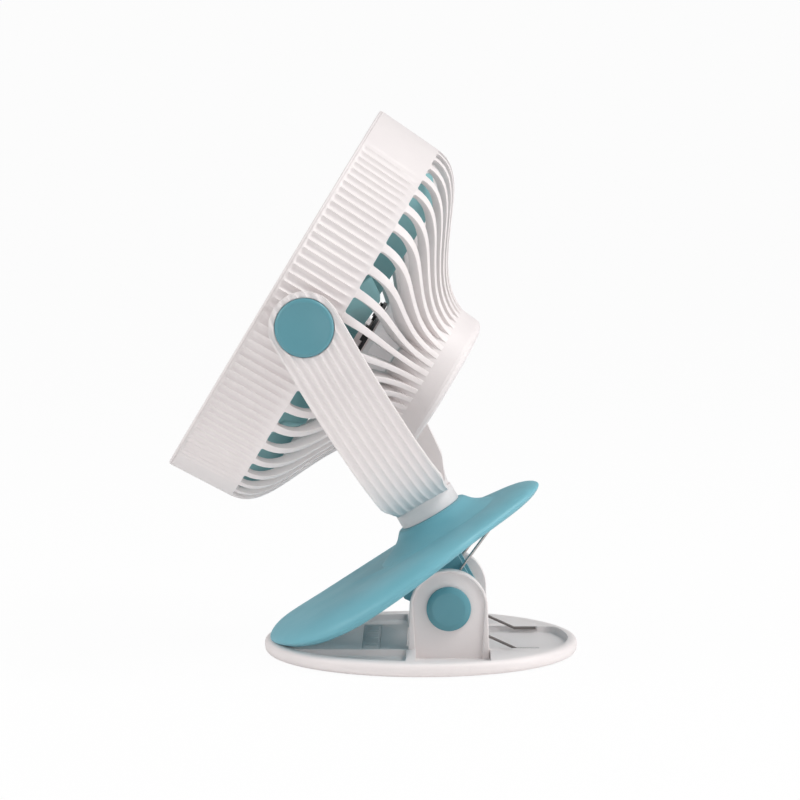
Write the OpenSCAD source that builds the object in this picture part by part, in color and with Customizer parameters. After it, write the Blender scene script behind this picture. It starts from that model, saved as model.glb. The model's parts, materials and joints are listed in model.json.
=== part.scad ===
// Clip-on rechargeable fan: a drum head in a U-shaped yoke on a spring clip.
// The origin is the centre of the dish's underside, +Z up; the head faces -X.

/* [Dish] */
// Radius of the dish at its widest
dish_r = 69.7; // [66:0.1:74]
// Height of the dish's rim above the table
rim_h = 6.5; // [6:0.1:8]
// Width of the rim around the grip well
rim_w = 9; // [7:0.5:11]
// Thickness of the dish's floor
floor_t = 2.6; // [2:0.1:3]
// Width of the spring channel between the ears
channel_w = 56; // [50:1:57]

/* [Clip] */
// Distance of the clip pin from the dish's centre
pin_x = 12.3; // [8:0.1:16]
// Height of the clip pin above the table
pin_z = 24.3; // [23:0.1:27]
// Radius of the clip pin
pin_r = 2.5; // [2:0.1:3]
// Distance between the ears' outer faces
ear_span = 64.4; // [62:0.2:68]
// Thickness of each ear
ear_t = 4; // [3:0.1:4.5]
// Radius of the ears' round tops
ear_r = 17.2; // [15:0.1:19]
// Length of the upper jaw, tip to handle end
jaw_len = 138; // [130:1:144]
// Width of the upper jaw
jaw_w = 114; // [100:1:124]
// Depth of the jaw's domed shell
jaw_d = 8.4; // [7:0.1:10]
// Wall of the jaw's shell
jaw_wall = 2.4; // [2:0.1:3]
// Distance of the jaw's underside from the clip pin
jaw_lift = 20.6; // [19.5:0.1:22]
// Distance of the handle's end from the clip pin
handle_len = 59.5; // [52:0.5:64]
// Radius of the spring's wire
wire_r = 0.9; // [0.7:0.05:1.1]
// Mean radius of the spring's coils
coil_r = 4.6; // [4.2:0.1:5.2]
// Coils on each side of the spring
coil_turns = 5; // [3:1:7]

/* [Yoke] */
// Cant of the yoke's axis from square to the jaw, in degrees
boss_cant = 1.7; // [0:0.1:3]
// Height of the collar under the bow
collar_h = 6; // [5:0.1:9]
// Width of the yoke's arms
arm_w = 30; // [27:0.5:33]
// Thickness of the yoke's arms
arm_t = 4; // [3.5:0.1:5]
// Clearance between the head's sweep and the yoke
sweep_gap = 1.6; // [1:0.1:3]
// Radius of the collar
collar_r = 14.2; // [13:0.1:15]
// Grooves on each arm
arm_grooves = 8; // [6:1:9]
// Radius of the tilt and swivel screws
bolt_r = 2; // [1.8:0.1:2.2]
// Radius of the caps over the tilt screws
cap_r = 12.4; // [11:0.1:13]

/* [Head] */
// Radius of the drum at its front rim
drum_r = 91; // [86:0.1:92]
// Depth of the drum's side wall
drum_len = 31.5; // [30:0.1:34]
// Distance of the front plane ahead of the tilt axis
front_x = 19.8; // [18:0.1:20.5]
// Slope of the drum's side wall in degrees
drum_taper = 3.5; // [2.5:0.1:4]
// Thickness of the drum's wall
drum_wall = 2.6; // [2.4:0.1:3]
// Rise of the fan's axis above level in degrees
head_rise = 31.1; // [20:0.1:50]
// Flutes in a full turn of the drum
flutes = 140; // [120:4:160]
// Ribs of the rear guard
ribs = 48; // [36:4:48]
// Thickness of the guard's ribs
rib_t = 2.6; // [2:0.1:3]
// Depth of the head from the front plane to the hub's rear face
head_depth = 88; // [84:0.5:92]
// Radius of the hub at its rear face
hub_r = 33.6; // [32:0.1:35]

/* [Impeller] */
// Radius of the impeller over its blades
blade_r = 83; // [76:0.5:84]
// Number of blades
blades = 7; // [5:1:9]
// Radius of the impeller's hub
cup_r = 20; // [19.5:0.1:22]
// Radius of the motor shaft
shaft_r = 1.5; // [1.2:0.1:1.8]

/* [Hidden] */

run_gap = 0.05;   // radial clearance of a shaft in its hole
seat_gap = 0.3;   // clearance between pieces that move past each other
lap = 1;          // how far a cutter runs past the face it opens
white = [0.92, 0.9, 0.9];
teal = [0.45, 0.68, 0.74];
grip_grey = [0.86, 0.84, 0.84];

// Dish
well_rx = dish_r - 3.2;          // half-length of the well inside the rim
well_ry = dish_r - rim_w;        // half-width of the well inside the rim
deck_z = rim_h - 0.3;            // top of the decks inside the rim
ear_out = ear_span / 2;
ear_in = ear_out - ear_t;
foot_r = dish_r - 14;            // radius of the pad under the dish
foot_h = 0.6;                    // how far the pad stands below the dish
foot_sink = 0.8;                 // how far the pad sits in the dish's floor
dish_z = foot_h;                 // underside of the dish's shell
bay_x = pin_x - ear_r - 1.2;     // where the wells end and the spring channel begins
pad_x = pin_x - ear_r - 17;      // centre of the grip pad across the island
pad_t = 1.4;
pad_w = 8;
pad_seat = 2.2;                  // depth of the pad's seat in the island
pad_ribs = 6;                    // ribs of the grip pad on each side of its middle one
pad_pitch = 4.4;
pad_rib_w = 1.8;
ear_flare = 4.6;                 // radius between an ear's foot and the deck
ear_border_w = 1.6;
ear_border_t = 0.6;
pin_cap_r = 9.75;
pin_cap_t = 2.8;

// Clip jaw, in its own frame: the pin at the origin, +X to the handle, +Z out of the jaw
jaw_cx = handle_len - jaw_len / 2;
jaw_top = jaw_lift + jaw_d;
tip_x = jaw_len - handle_len;
tip_z = jaw_lift + jaw_d * 0.3;
tip_gap = 0.9;                   // height of the tip's widest edge over the rim
jaw_slope = asin((pin_z - rim_h - tip_gap) / norm([tip_x, tip_z])) + atan2(tip_z, tip_x);
boss_x = 11;                     // where the yoke's axis meets the boss
boss_h = 8;                      // height of the boss over the jaw
boss_depth = boss_h + jaw_wall + 1.2;
boss_r = collar_r + 1.9;
lug_t = 4;
lug_r = 8.5;
arm_wire_x = 36;                 // where the spring's arms meet the handle

// Spring: the coils stand against the ears, the arms inside them, the lugs inside those
coil_pitch = 2.04 * wire_r;
coil_out = ear_in - seat_gap;
coil_in = coil_out - coil_pitch * coil_turns - 2 * wire_r;
arm_wire_y = coil_in - seat_gap - wire_r;
lug_out = arm_wire_y - wire_r - seat_gap;
leg_bend_x = 42.3;
leg_end_x = 52;
leg_z = deck_z - wire_r;

// Yoke and head: shared places
yoke_lean = jaw_slope + boss_cant;
sweep_r = norm([drum_r, front_x]);
bow_r = sweep_r + sweep_gap;
yoke_len = bow_r + arm_t + collar_h;     // from the tilt axis to the collar's foot
foot_x = pin_x + boss_x * cos(jaw_slope) - (jaw_top + boss_h) * sin(jaw_slope);
foot_z = pin_z + boss_x * sin(jaw_slope) + (jaw_top + boss_h) * cos(jaw_slope);
pivot_x = foot_x - yoke_len * sin(yoke_lean);
pivot_z = foot_z + yoke_len * cos(yoke_lean);
arm_in = drum_r + sweep_gap;
arm_out = arm_in + arm_t;
washer_t = 0.5;
washer_r = 9;
head_recess = arm_t * 0.6;       // depth of the recess for a tilt screw's head
screw_head_r = 4;
cap_sink = 0.8;                  // how deep a pivot cap sits in its arm
cap_t = 1.7;
groove_r = 2.4;
groove_d = 0.7;

// Drum: radii at its front and at its shoulder
drum_rear = front_x - drum_len;
shoulder_r = drum_r - drum_len * tan(drum_taper);
boss_face = arm_in - washer_t;
pivot_boss_r = 10.5;
flute_d = 0.7;
flute_span = 60;                 // half-angle of the fluted sides
flute_skip = 8;                  // half-angle left plain around each pivot boss

function at(a) = front_x - a;    // height of a point that lies a behind the front plane

// Rear guard: two cubic arcs for the ribs' outer edge and two for their inner edge, as
// [distance behind the front plane, radius]
hub_a = head_depth - 3.6;        // where the hub's sleeve ends and the cover begins
guard_run = head_depth - drum_len;
guard_fall = shoulder_r - hub_r;

// A point of the rib's outline: u of the way back from the shoulder, w of the way up from the hub
function guard_at(u, w) = [drum_len + u * guard_run, hub_r + w * guard_fall];

guard_out = concat(
    arc_points([drum_len + 0.6, shoulder_r - 0.9], guard_at(0.22, 0.97), guard_at(0.292, 0.71),
        guard_at(0.434, 0.422), 8),
    arc_points(guard_at(0.434, 0.422), guard_at(0.522, 0.242), guard_at(0.628, 0.052),
        [hub_a - 6, hub_r + 0.4], 7));
guard_in = concat(
    arc_points([drum_len + 0.6, shoulder_r - 3.5], guard_at(0.15, 0.919), guard_at(0.204, 0.62),
        guard_at(0.345, 0.323), 6),
    arc_points(guard_at(0.345, 0.323), guard_at(0.416, 0.17), guard_at(0.487, 0.043),
        guard_at(0.61, -0.022), 5));
hub_wall = 2.2;
hub_len = 24.4;                  // length of the hub's sleeve
funnel_a = hub_a - hub_len - 1;  // where the motor's cone meets the hub
hub_in = hub_r - hub_wall;

// Motor and impeller
tip_guard = 73.5;                // radius of the blades' rear corner, inside the ribs
blade_front = 13;
blade_rear = 41.5;
tip_cut = 33;                    // where the blade tips begin to close in
blade_t = 1.6;
blade_twist_hub = 44;            // sweep of a blade round the axis at the hub, in degrees
blade_twist_tip = 50;
blade_rows = 8;
blade_cols = 10;
cup_wall = 1.6;
can_gap = 0.05;
can_r = cup_r - cup_wall - can_gap;
can_front = 27;                  // front face of the rotor can
can_cap = 1;
can_wall = 2.4;
air_gap = 0.6;                   // between the rotor can and the stator
stator_h = 9;
slot_w = 1.6;
coils = 9;
tube_in = shaft_r + 1.7;
tube_out = tube_in + 1.8;
tube_front = 30;
bearing_h = 4.5;
fit_gap = 0.02;                  // clearance of a fixed piece in its seat
board_gap = 0.6;
chip_w = 3;
chip_l = 4.4;
chip_t = 1.5;
board_a = 43.6;
board_t = 1.6;
mount_a = 47.6;                  // front face of the motor housing
mount_t = 2;

// Points of a cubic arc from p0 to p3, without its last point
function arc_points(p0, p1, p2, p3, n) = [for (i = [0:n - 1]) let (t = i / n, u = 1 - t)
    u * u * u * p0 + 3 * u * u * t * p1 + 3 * u * t * t * p2 + t * t * t * p3];

// An oval outline of half-lengths rx and ry
function oval(rx, ry, n = 64) = [for (i = [0:n - 1]) [rx * cos(i * 360 / n), ry * sin(i * 360 / n)]];

// Mirrors what it is given across the fan's middle plane
module both_sides() {
    children();
    mirror([0, 1, 0]) children();
}

// Frames: the clip's jaw about its pin, the yoke about the tilt axis, the head about it too
module jaw_frame() {
    translate([pin_x, 0, pin_z]) rotate([0, -jaw_slope, 0]) children();
}

module yoke_frame() {
    translate([pivot_x, 0, pivot_z]) rotate([0, -yoke_lean, 0]) children();
}

module head_frame() {
    translate([pivot_x, 0, pivot_z]) rotate([0, head_rise - 90, 0]) children();
}

// A cylinder along Y from y0 to y1
module bar_y(r, y0, y1) {
    translate([0, y0, 0]) rotate([-90, 0, 0]) cylinder(h = y1 - y0, r = r, $fn = 64);
}

// An outline drawn in X and Z, given a thickness from y0 to y1
module plate_y(y0, y1) {
    translate([0, y1, 0]) rotate([90, 0, 0]) linear_extrude(y1 - y0) children();
}

// ---- Dish ----

module dish_profile() {
    polygon([[0, dish_z], [dish_r - 3.6, dish_z], [dish_r - 1.3, dish_z + 0.8], [dish_r, rim_h - 1.9],
        [dish_r - 0.6, rim_h - 0.7], [dish_r - 2.2, rim_h], [dish_r - 5, rim_h], [dish_r - 7, deck_z],
        [0, deck_z]]);
}

// Outline of the wells beside the middle island, under the jaw
module grip_well() {
    intersection() {
        polygon(oval(well_rx, well_ry));
        translate([-dish_r, -dish_r]) square([dish_r + bay_x, 2 * dish_r]);
    }
}

// Outline of the channel for the spring's legs and the clip's open middle
module spring_channel() {
    intersection() {
        polygon(oval(dish_r - 4.1, dish_r - 4.1));
        rounded_bay(bay_x, dish_r, channel_w / 2 - 0.6, 9);
    }
}

// A bay's outline from x0 to x1 and to y either side, with round corners of radius r at x0
module rounded_bay(x0, x1, y, r) {
    translate([x0 + r, -y]) square([x1 - x0 - r, 2 * y]);
    translate([x0, r - y]) square([x1 - x0, 2 * (y - r)]);
    for (side = [-1, 1]) translate([x0 + r, side * (y - r)]) circle(r, $fn = 48);
}

// An ear's outline from the side: a round top on straight sides that flare into the deck
module ear_outline(inset) {
    translate([pin_x, pin_z]) circle(ear_r - inset, $fn = 96);
    translate([pin_x - ear_r + inset, deck_z - lap]) square([2 * (ear_r - inset), pin_z - deck_z + lap]);
}

module ear() {
    plate_y(ear_in, ear_out) {
        ear_outline(0);
        difference() {
            translate([pin_x - ear_r - ear_flare, deck_z - lap])
                square([2 * (ear_r + ear_flare), ear_flare + lap]);
            for (side = [-1, 1]) translate([pin_x + side * (ear_r + ear_flare), deck_z + ear_flare])
                circle(ear_flare, $fn = 48);
        }
    }
    // a raised border round the ear's outer face
    plate_y(ear_out, ear_out + ear_border_t) difference() {
        ear_outline(0);
        ear_outline(ear_border_w);
    }
}

module base_dish() color(white) difference() {
    union() {
        rotate_extrude($fn = 160) dish_profile();
        both_sides() ear();
    }
    difference() {
        translate([0, 0, dish_z + floor_t]) linear_extrude(rim_h) grip_well();
        // the middle island keeps its place in the well, flush with the ears
        translate([-dish_r, -ear_out, dish_z]) cube([2 * dish_r, 2 * ear_out, rim_h]);
    }
    // seat of the grip pad across the island
    translate([pad_x - pad_w / 2, -ear_out - lap, deck_z - pad_seat])
        cube([pad_w, 2 * ear_out + 2 * lap, rim_h]);
    translate([0, 0, dish_z + floor_t]) linear_extrude(rim_h) spring_channel();
    both_sides() {
        translate([pin_x, 0, pin_z]) bar_y(pin_r + run_gap, 0, ear_out + 2 * lap);
        // grooves in the channel's edge for the spring's legs
        leg_groove();
    }
    translate([0, 0, dish_z - lap]) cylinder(h = lap + foot_sink, r = foot_r + run_gap, $fn = 128);
}

module leg_groove() {
    g = wire_r + 0.15;
    translate([leg_bend_x - 8, coil_out - wire_r - g, deck_z - 2 * wire_r - 0.3])
        cube([leg_end_x - leg_bend_x + 8.3, 2 * g, 2 * wire_r + lap]);
}

// Ribbed grip pad, glued across the island
module base_grip_pad() color(grip_grey) translate([pad_x, 0, deck_z - pad_seat]) {
    translate([0.4 - pad_w / 2, 0.6 - ear_out, 0]) cube([pad_w - 0.8, 2 * ear_out - 1.2, pad_t]);
    for (i = [-pad_ribs:pad_ribs]) translate([1 - pad_w / 2, i * pad_pitch - pad_rib_w / 2, 0])
        cube([pad_w - 2, pad_rib_w, pad_t + 0.6]);
}

// Round non-slip pad, glued in a shallow recess under the dish
module base_pad() color([0.8, 0.8, 0.8]) cylinder(h = foot_h + foot_sink, r = foot_r, $fn = 128);

module clip_pin() color("silver")
    translate([pin_x, 0, pin_z]) bar_y(pin_r, -ear_out - 0.8, ear_out + 0.8);

// A round cap with a bevelled face, its seat at the origin and its face to +Z
module pin_cap() difference() {
    rotate_extrude($fn = 96) polygon([[0, 0], [pin_cap_r - 0.5, 0], [pin_cap_r, 0.5], [pin_cap_r, 1.5],
        [pin_cap_r - 0.7, 2.1], [pin_cap_r - 2.6, pin_cap_t], [0, pin_cap_t]]);
    translate([0, 0, -lap]) cylinder(h = lap + 0.8, r = pin_r + run_gap, $fn = 48);
}

module pin_cap_near() color(teal) translate([pin_x, -ear_out, pin_z]) rotate([90, 0, 0]) pin_cap();

module pin_cap_far() color(teal) translate([pin_x, ear_out, pin_z]) rotate([-90, 0, 0]) pin_cap();

// ---- Clip spring ----

// Angle on the coil, seen along +Y, at which a wire from point p of its plane meets it;
// side is 1 for the wire that passes over the pin and -1 for the one that passes under it
function tangent_angle(p, side) = atan2(p.y, p.x) + side * acos(coil_r / norm(p));

leg_bend = [leg_bend_x - pin_x, leg_z - pin_z];
leg_angle = tangent_angle(leg_bend, -1);
coil_steps = 14;                 // straight pieces in one turn of a coil
wire_sides = 8;

// A spring half's centre line: the leg in the dish, then the coil, from outside inwards
spring_route = concat(
    [[leg_end_x - pin_x, coil_out - wire_r, leg_bend.y], [leg_bend.x, coil_out - wire_r, leg_bend.y]],
    [for (i = [0:coil_steps * coil_turns]) let (a = leg_angle - i * 360 / coil_steps)
        [coil_r * cos(a), coil_out - wire_r - i * coil_pitch / coil_steps, coil_r * sin(a)]]);

function route_way(p, i) = p[min(i + 1, len(p) - 1)] - p[max(i - 1, 0)];

// A wire swept along a route whose run never lies along Y
module swept_wire(p, r, n) {
    rings = [for (i = [0:len(p) - 1])
        let (way = route_way(p, i), t = way / norm(way), c = cross([0, 1, 0], t), u = c / norm(c))
        for (k = [0:n - 1]) p[i] + r * (cos(k * 360 / n) * u + sin(k * 360 / n) * cross(t, u))];
    last = (len(p) - 1) * n;
    polyhedron(rings, concat(
        [[for (k = [0:n - 1]) n - 1 - k]], [[for (k = [0:n - 1]) last + k]],
        [for (i = [0:len(p) - 2], k = [0:n - 1]) let (a = i * n + k, b = i * n + (k + 1) % n)
            [a, b, b + n, a + n]]));
}

module clip_spring() color("silver") translate([pin_x, 0, pin_z])
    both_sides() swept_wire(spring_route, wire_r, wire_sides);

arm_end = [arm_wire_x, jaw_top - jaw_wall - wire_r - 0.6];
arm_angle = tangent_angle(arm_end, 1);
arm_hook = 190;                  // how far an arm's wire goes round the pin

// An arm's centre line in the jaw's frame: the hook round the pin, then the straight arm
arm_route = concat(
    [for (i = [0:8]) let (a = arm_angle + arm_hook * (1 - i / 8))
        [coil_r * cos(a), arm_wire_y, coil_r * sin(a)]],
    [[arm_end.x, arm_wire_y, arm_end.y]]);

module spring_arms() color("silver") jaw_frame()
    both_sides() swept_wire(arm_route, wire_r, wire_sides);

// ---- Upper jaw ----

// The domed shell's body, shrunk by inset on every side but the open one
module jaw_dome(inset) {
    levels = [[0, 3.8], [0.15, 1.5], [0.35, 0], [0.62, 1.6], [0.86, 6], [1, 17]];
    translate([jaw_cx, 0, jaw_lift]) hull() for (level = levels)
        translate([0, 0, level[0] * (jaw_d - inset) - (level[0] == 0 && inset > 0 ? lap : 0)])
            linear_extrude(0.01)
                polygon(oval(jaw_len / 2 - level[1] - inset, jaw_w / 2 - level[1] * 0.9 - inset, 56));
}

module jaw_boss() {
    translate([0, 0, -yoke_len]) rotate_extrude($fn = 96)
        polygon([[0, 0], [boss_r - 0.6, 0], [boss_r, -0.6], [boss_r + 0.9, -3], [boss_r + 2.6, -5.2],
            [boss_r + 5.6, -7.2], [boss_r + 8.4, -boss_h], [boss_r + 8.4, -boss_depth], [0, -boss_depth]]);
}

module jaw_lug() {
    top = jaw_top - jaw_wall + 0.6;
    plate_y(lug_in(), lug_out) {
        circle(lug_r, $fn = 64);
        polygon([[-lug_r, 0], [lug_r, 0], [13.5, 9], [13.5, top], [-9.5, top]]);
    }
}

function lug_in() = lug_out - lug_t;

module clip_jaw() color([0.5, 0.71, 0.77]) difference() {
    union() {
        jaw_frame() difference() {
            jaw_dome(0);
            jaw_dome(jaw_wall);
        }
        yoke_frame() jaw_boss();
        jaw_frame() both_sides() jaw_lug();
    }
    jaw_frame() bar_y(pin_r + run_gap, -lug_out - lap, lug_out + lap);
    yoke_frame() translate([0, 0, -yoke_len - boss_depth - lap])
        cylinder(h = boss_depth + 2 * lap, r = bolt_r + run_gap, $fn = 48);
}

jaw_pad_l = 12;
jaw_pad_w = 28;
jaw_pad_back = 18;               // distance of the pad's front from the jaw's tip

// Ribbed grip pad under the jaw's tip
module jaw_grip_pad() color(grip_grey) jaw_frame()
    translate([jaw_pad_back - tip_x, 0, jaw_top - jaw_wall - pad_t - 0.8]) {
        translate([0, -jaw_pad_w / 2, 0]) cube([jaw_pad_l, jaw_pad_w, pad_t]);
        for (i = [-3:3]) translate([1, i * 4 - pad_rib_w / 2, -0.6])
            cube([jaw_pad_l - 2, pad_rib_w, pad_t]);
    }

nut_t = 3.2;
nut_r = 4;
nut_z = -yoke_len - boss_depth - washer_t;

module swivel_washer() color("silver") yoke_frame() translate([0, 0, nut_z]) difference() {
    cylinder(h = washer_t, r = 5, $fn = 64);
    translate([0, 0, -lap]) cylinder(h = washer_t + 2 * lap, r = bolt_r + run_gap, $fn = 48);
}

module swivel_nut() color("silver") yoke_frame() translate([0, 0, nut_z - nut_t]) difference() {
    cylinder(h = nut_t, r = nut_r, $fn = 6);
    translate([0, 0, -lap]) cylinder(h = nut_t + 2 * lap, r = bolt_r, $fn = 48);
}

// ---- Yoke ----

bolt_recess = arm_t * 0.75;
bolt_head_t = 2;

module swivel_bolt() color("silver") yoke_frame() {
    translate([0, 0, nut_z - nut_t - 1])
        cylinder(h = nut_t + 1 - nut_z - bow_r - bolt_recess, r = bolt_r, $fn = 48);
    translate([0, 0, -bow_r - bolt_recess]) cylinder(h = bolt_head_t, r = screw_head_r, $fn = 48);
}

module swivel_collar() color(white) yoke_frame() difference() {
    translate([0, 0, -yoke_len]) cylinder(h = yoke_len - bow_r, r = collar_r, $fn = 96);
    rotate([0, 90, 0]) cylinder(h = 2 * arm_w, r = bow_r + arm_t, center = true, $fn = 200);
    translate([0, 0, -yoke_len - lap]) cylinder(h = yoke_len, r = bolt_r + run_gap, $fn = 48);
}

// The bow's outline across the fan: a half ring that runs on up as two straight arms
module bow_outline(r, y) {
    intersection() {
        circle(r, $fn = 200);
        translate([-y, -r]) square([2 * y, r]);
    }
    translate([-y, -lap]) square([2 * y, arm_w / 2 + lap]);
}

// The arms' outline from the side: round at the top and drawn in above the collar
module arm_outline() {
    waist = bow_r + arm_t - 11;
    half = arm_w / 2;
    polygon(concat([for (a = [0:7.5:180]) [half * cos(a), half * sin(a)]],
        [[-half, -waist], [1.6 - half, -waist - 5], [2 - collar_r, -waist - 12],
        [collar_r - 2, -waist - 12], [half - 1.6, -waist - 5], [half, -waist]]));
}

groove_pitch = (arm_w - 1.1) / arm_grooves;
groove_join = sqrt(pow(bow_r + arm_t, 2) - pow(arm_out, 2));

module arm_grooves() for (i = [0:arm_grooves - 1]) {
    x = (i + 0.5 - arm_grooves / 2) * groove_pitch;
    y = arm_out - groove_d + groove_r;
    ring_r = bow_r + arm_t - groove_d + groove_r;
    start = asin((collar_r + 2) / ring_r);
    translate([x, y, -groove_join]) cylinder(h = groove_join + arm_w, r = groove_r, $fn = 32);
    rotate([0, 90, 0]) rotate(start) rotate_extrude(angle = acos(groove_join / ring_r) - start, $fn = 200)
        translate([ring_r, x]) circle(groove_r, $fn = 32);
}

module yoke() color(white) yoke_frame() difference() {
    intersection() {
        translate([-arm_w / 2, 0, 0]) rotate([90, 0, 90]) linear_extrude(arm_w) difference() {
            bow_outline(bow_r + arm_t, arm_out);
            translate([0, lap]) bow_outline(bow_r, arm_in);
            bow_outline(bow_r, arm_in);
        }
        plate_y(-2 * bow_r, 2 * bow_r) arm_outline();
    }
    both_sides() {
        arm_grooves();
        bar_y(bolt_r + run_gap, 0, arm_out + lap);
        bar_y(screw_head_r + 0.4, arm_out - head_recess, arm_out + lap);
        bar_y(cap_r + run_gap, arm_out - cap_sink, arm_out + lap);
    }
    translate([0, 0, -2 * bow_r]) cylinder(h = 2 * bow_r, r = bolt_r + run_gap, $fn = 48);
    translate([0, 0, -bow_r - bolt_recess]) cylinder(h = bow_r, r = screw_head_r + 0.4, $fn = 48);
}

module tilt_washers() color([0.3, 0.3, 0.3]) yoke_frame() both_sides() difference() {
    bar_y(washer_r, boss_face, arm_in);
    bar_y(bolt_r + run_gap, boss_face - lap, arm_in + lap);
}

// A domed cap over a tilt screw, its seat at the origin and its face to +Z
module pivot_cap() rotate_extrude($fn = 96) polygon([[0, 0], [cap_r, 0], [cap_r, cap_sink],
    [cap_r - 0.3, cap_t - 0.4], [cap_r - 1.3, cap_t], [0, cap_t]]);

module pivot_cap_near() color(teal) yoke_frame()
    translate([0, cap_sink - arm_out, 0]) rotate([90, 0, 0]) pivot_cap();

module pivot_cap_far() color(teal) yoke_frame()
    translate([0, arm_out - cap_sink, 0]) rotate([-90, 0, 0]) pivot_cap();

// ---- Head ----

grille_t = 3.2;                  // depth of the front grille's ribs
grille_ribs = 40;
grille_rib_w = 1.8;
grille_cap_r = 19;
ring_t = 1.8;                    // thickness of the front ring over the drum's edge
spigot_t = 2;
drum_front_in = drum_r - drum_wall;

// Depth of the flutes at angle a round the axis, measured from the drum's upper edge
function flute_depth(a) = let (side = abs(abs(a - 180) - 90), f = a * flutes / 360 - floor(a * flutes / 360))
    side < flute_span && side > flute_skip ? flute_d * 4 * f * (1 - f) : 0;

flute_steps = 5;                 // straight pieces across one flute

// The drum's fluted outline at its front edge
module fluted_outline() polygon([for (i = [0:flutes * flute_steps - 1])
    let (a = i * 360 / (flutes * flute_steps), r = drum_r - ring_t * tan(drum_taper) - flute_depth(a))
        [r * cos(a), r * sin(a)]]);

module drum_shell() color(white) head_frame() difference() {
    union() {
        difference() {
            // the outline shrinks towards the shoulder, so it is drawn front edge down and turned over
            translate([0, 0, at(ring_t)]) rotate([180, 0, 0])
                linear_extrude(drum_len - ring_t, scale = shoulder_r / (drum_r - ring_t * tan(drum_taper)))
                    fluted_outline();
            translate([0, 0, drum_rear - lap]) cylinder(h = drum_len - ring_t + 2 * lap,
                r1 = shoulder_r - drum_wall - lap * tan(drum_taper),
                r2 = drum_r - (ring_t - lap) * tan(drum_taper) - drum_wall, $fn = 200);
        }
        difference() {
            both_sides() bar_y(pivot_boss_r, shoulder_r - drum_wall - 2, boss_face);
            // the bosses stop at the wall's inner face, clear of the blades
            translate([0, 0, drum_rear - lap])
                cylinder(h = 2 * drum_len, r = shoulder_r - drum_wall + 0.4, $fn = 200);
        }
    }
    both_sides() bar_y(bolt_r, 0, boss_face + lap);
}

module tilt_screws() color("silver") head_frame() both_sides() {
    bar_y(bolt_r, shoulder_r - drum_wall + 1, arm_out - head_recess + 0.2);
    bar_y(screw_head_r, arm_out - head_recess, arm_out - cap_sink - 0.1);
}

module front_grille() color(white) head_frame() difference() {
    union() {
        rotate_extrude($fn = 200) polygon([[drum_front_in - spigot_t - 0.4, at(6)],
            [drum_front_in - 0.4, at(6)], [drum_front_in - 0.4, at(ring_t)], [drum_r - 0.2, at(ring_t)],
            [drum_r - 0.2, at(0.5)], [drum_r - 0.7, at(0)], [drum_front_in - 1, at(0)],
            [drum_front_in - spigot_t - 0.4, at(1.2)]]);
        for (i = [0:grille_ribs - 1]) rotate(i * 360 / grille_ribs)
            translate([grille_cap_r - 2, -grille_rib_w / 2, at(1 + grille_t)])
                cube([drum_front_in - grille_cap_r, grille_rib_w, grille_t]);
        for (r = [drum_r * 0.44, drum_r * 0.7]) translate([0, 0, at(1 + grille_t)]) difference() {
            cylinder(h = grille_t, r = r + 1, $fn = 128);
            translate([0, 0, -lap]) cylinder(h = grille_t + 2 * lap, r = r - 1, $fn = 128);
        }
        translate([0, 0, at(1 + grille_t)]) cylinder(h = grille_t, r = grille_cap_r, $fn = 96);
    }
}

module grille_cap() color(teal) head_frame() translate([0, 0, at(1)])
    rotate_extrude($fn = 96) polygon([[0, 0], [grille_cap_r - 1, 0], [grille_cap_r - 1, 0.5],
        [grille_cap_r - 1.7, 1], [0, 1]]);

module rear_guard() color(white) head_frame() {
    for (i = [0:ribs - 1]) rotate(i * 360 / ribs) rotate([90, 0, 0])
        linear_extrude(rib_t, center = true) polygon(concat([for (p = guard_out) [p[1], at(p[0])]],
            [[hub_r - 0.4, at(hub_a - 6)]],
            [for (i = [len(guard_in) - 1:-1:0]) [guard_in[i][1], at(guard_in[i][0])]]));
    // shoulder ring and its spigot in the drum
    rotate_extrude($fn = 200) polygon([[shoulder_r - drum_wall - 0.3, at(drum_len - 3)],
        [shoulder_r - drum_wall - 0.3, at(drum_len)], [shoulder_r, at(drum_len)],
        [shoulder_r - 0.2, at(drum_len + 1.8)], [shoulder_r - 4, at(drum_len + 1.8)],
        [shoulder_r - 4, at(drum_len - 3)]]);
    // hub sleeve
    rotate_extrude($fn = 128) polygon([[hub_in, at(hub_a - hub_len)],
        [hub_r + 2.6, at(hub_a - hub_len)], [hub_r + 1.2, at(hub_a - 12)],
        [hub_r, at(hub_a)], [hub_in, at(hub_a)]]);
}

// The funnel behind the impeller: a tube for the bearings, a plate, and a cone out to the hub
module motor_housing() color(white) head_frame() difference() {
    rotate_extrude($fn = 128) polygon([[0, at(tube_front)], [tube_out, at(tube_front)],
        [tube_out, at(mount_a)], [cup_r + 1, at(mount_a)], [cup_r + 4, at(mount_a + mount_t)],
        [hub_in - 3, at(funnel_a)], [hub_in - 0.1, at(funnel_a + mount_t)], [hub_in - 0.1, at(funnel_a + 11)],
        [hub_in - mount_t, at(funnel_a + 11)], [hub_in - mount_t, at(funnel_a + 3)],
        [hub_in - 5, at(funnel_a + 1)], [cup_r + 2.4, at(mount_a + mount_t + 1.4)],
        [cup_r, at(mount_a + mount_t)], [0, at(mount_a + mount_t)]]);
    translate([0, 0, at(mount_a + 3 * mount_t)]) cylinder(h = head_depth, r = tube_in + fit_gap, $fn = 64);
}

module motor_board() color([0.1, 0.1, 0.1]) head_frame() translate([0, 0, at(board_a + 2 * board_t)]) {
    difference() {
        cylinder(h = board_t, r = cup_r - board_gap, $fn = 96);
        translate([0, 0, -lap]) cylinder(h = board_t + 2 * lap, r = tube_out + 0.1, $fn = 64);
    }
    // chips and connector blocks round the board's edge
    for (i = [0:coils - 1]) rotate(i * 360 / coils)
        translate([cup_r - board_gap - chip_w - 1, -chip_l / 2, board_t - 0.2])
            cube([chip_w, chip_l, chip_t]);
}

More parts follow.
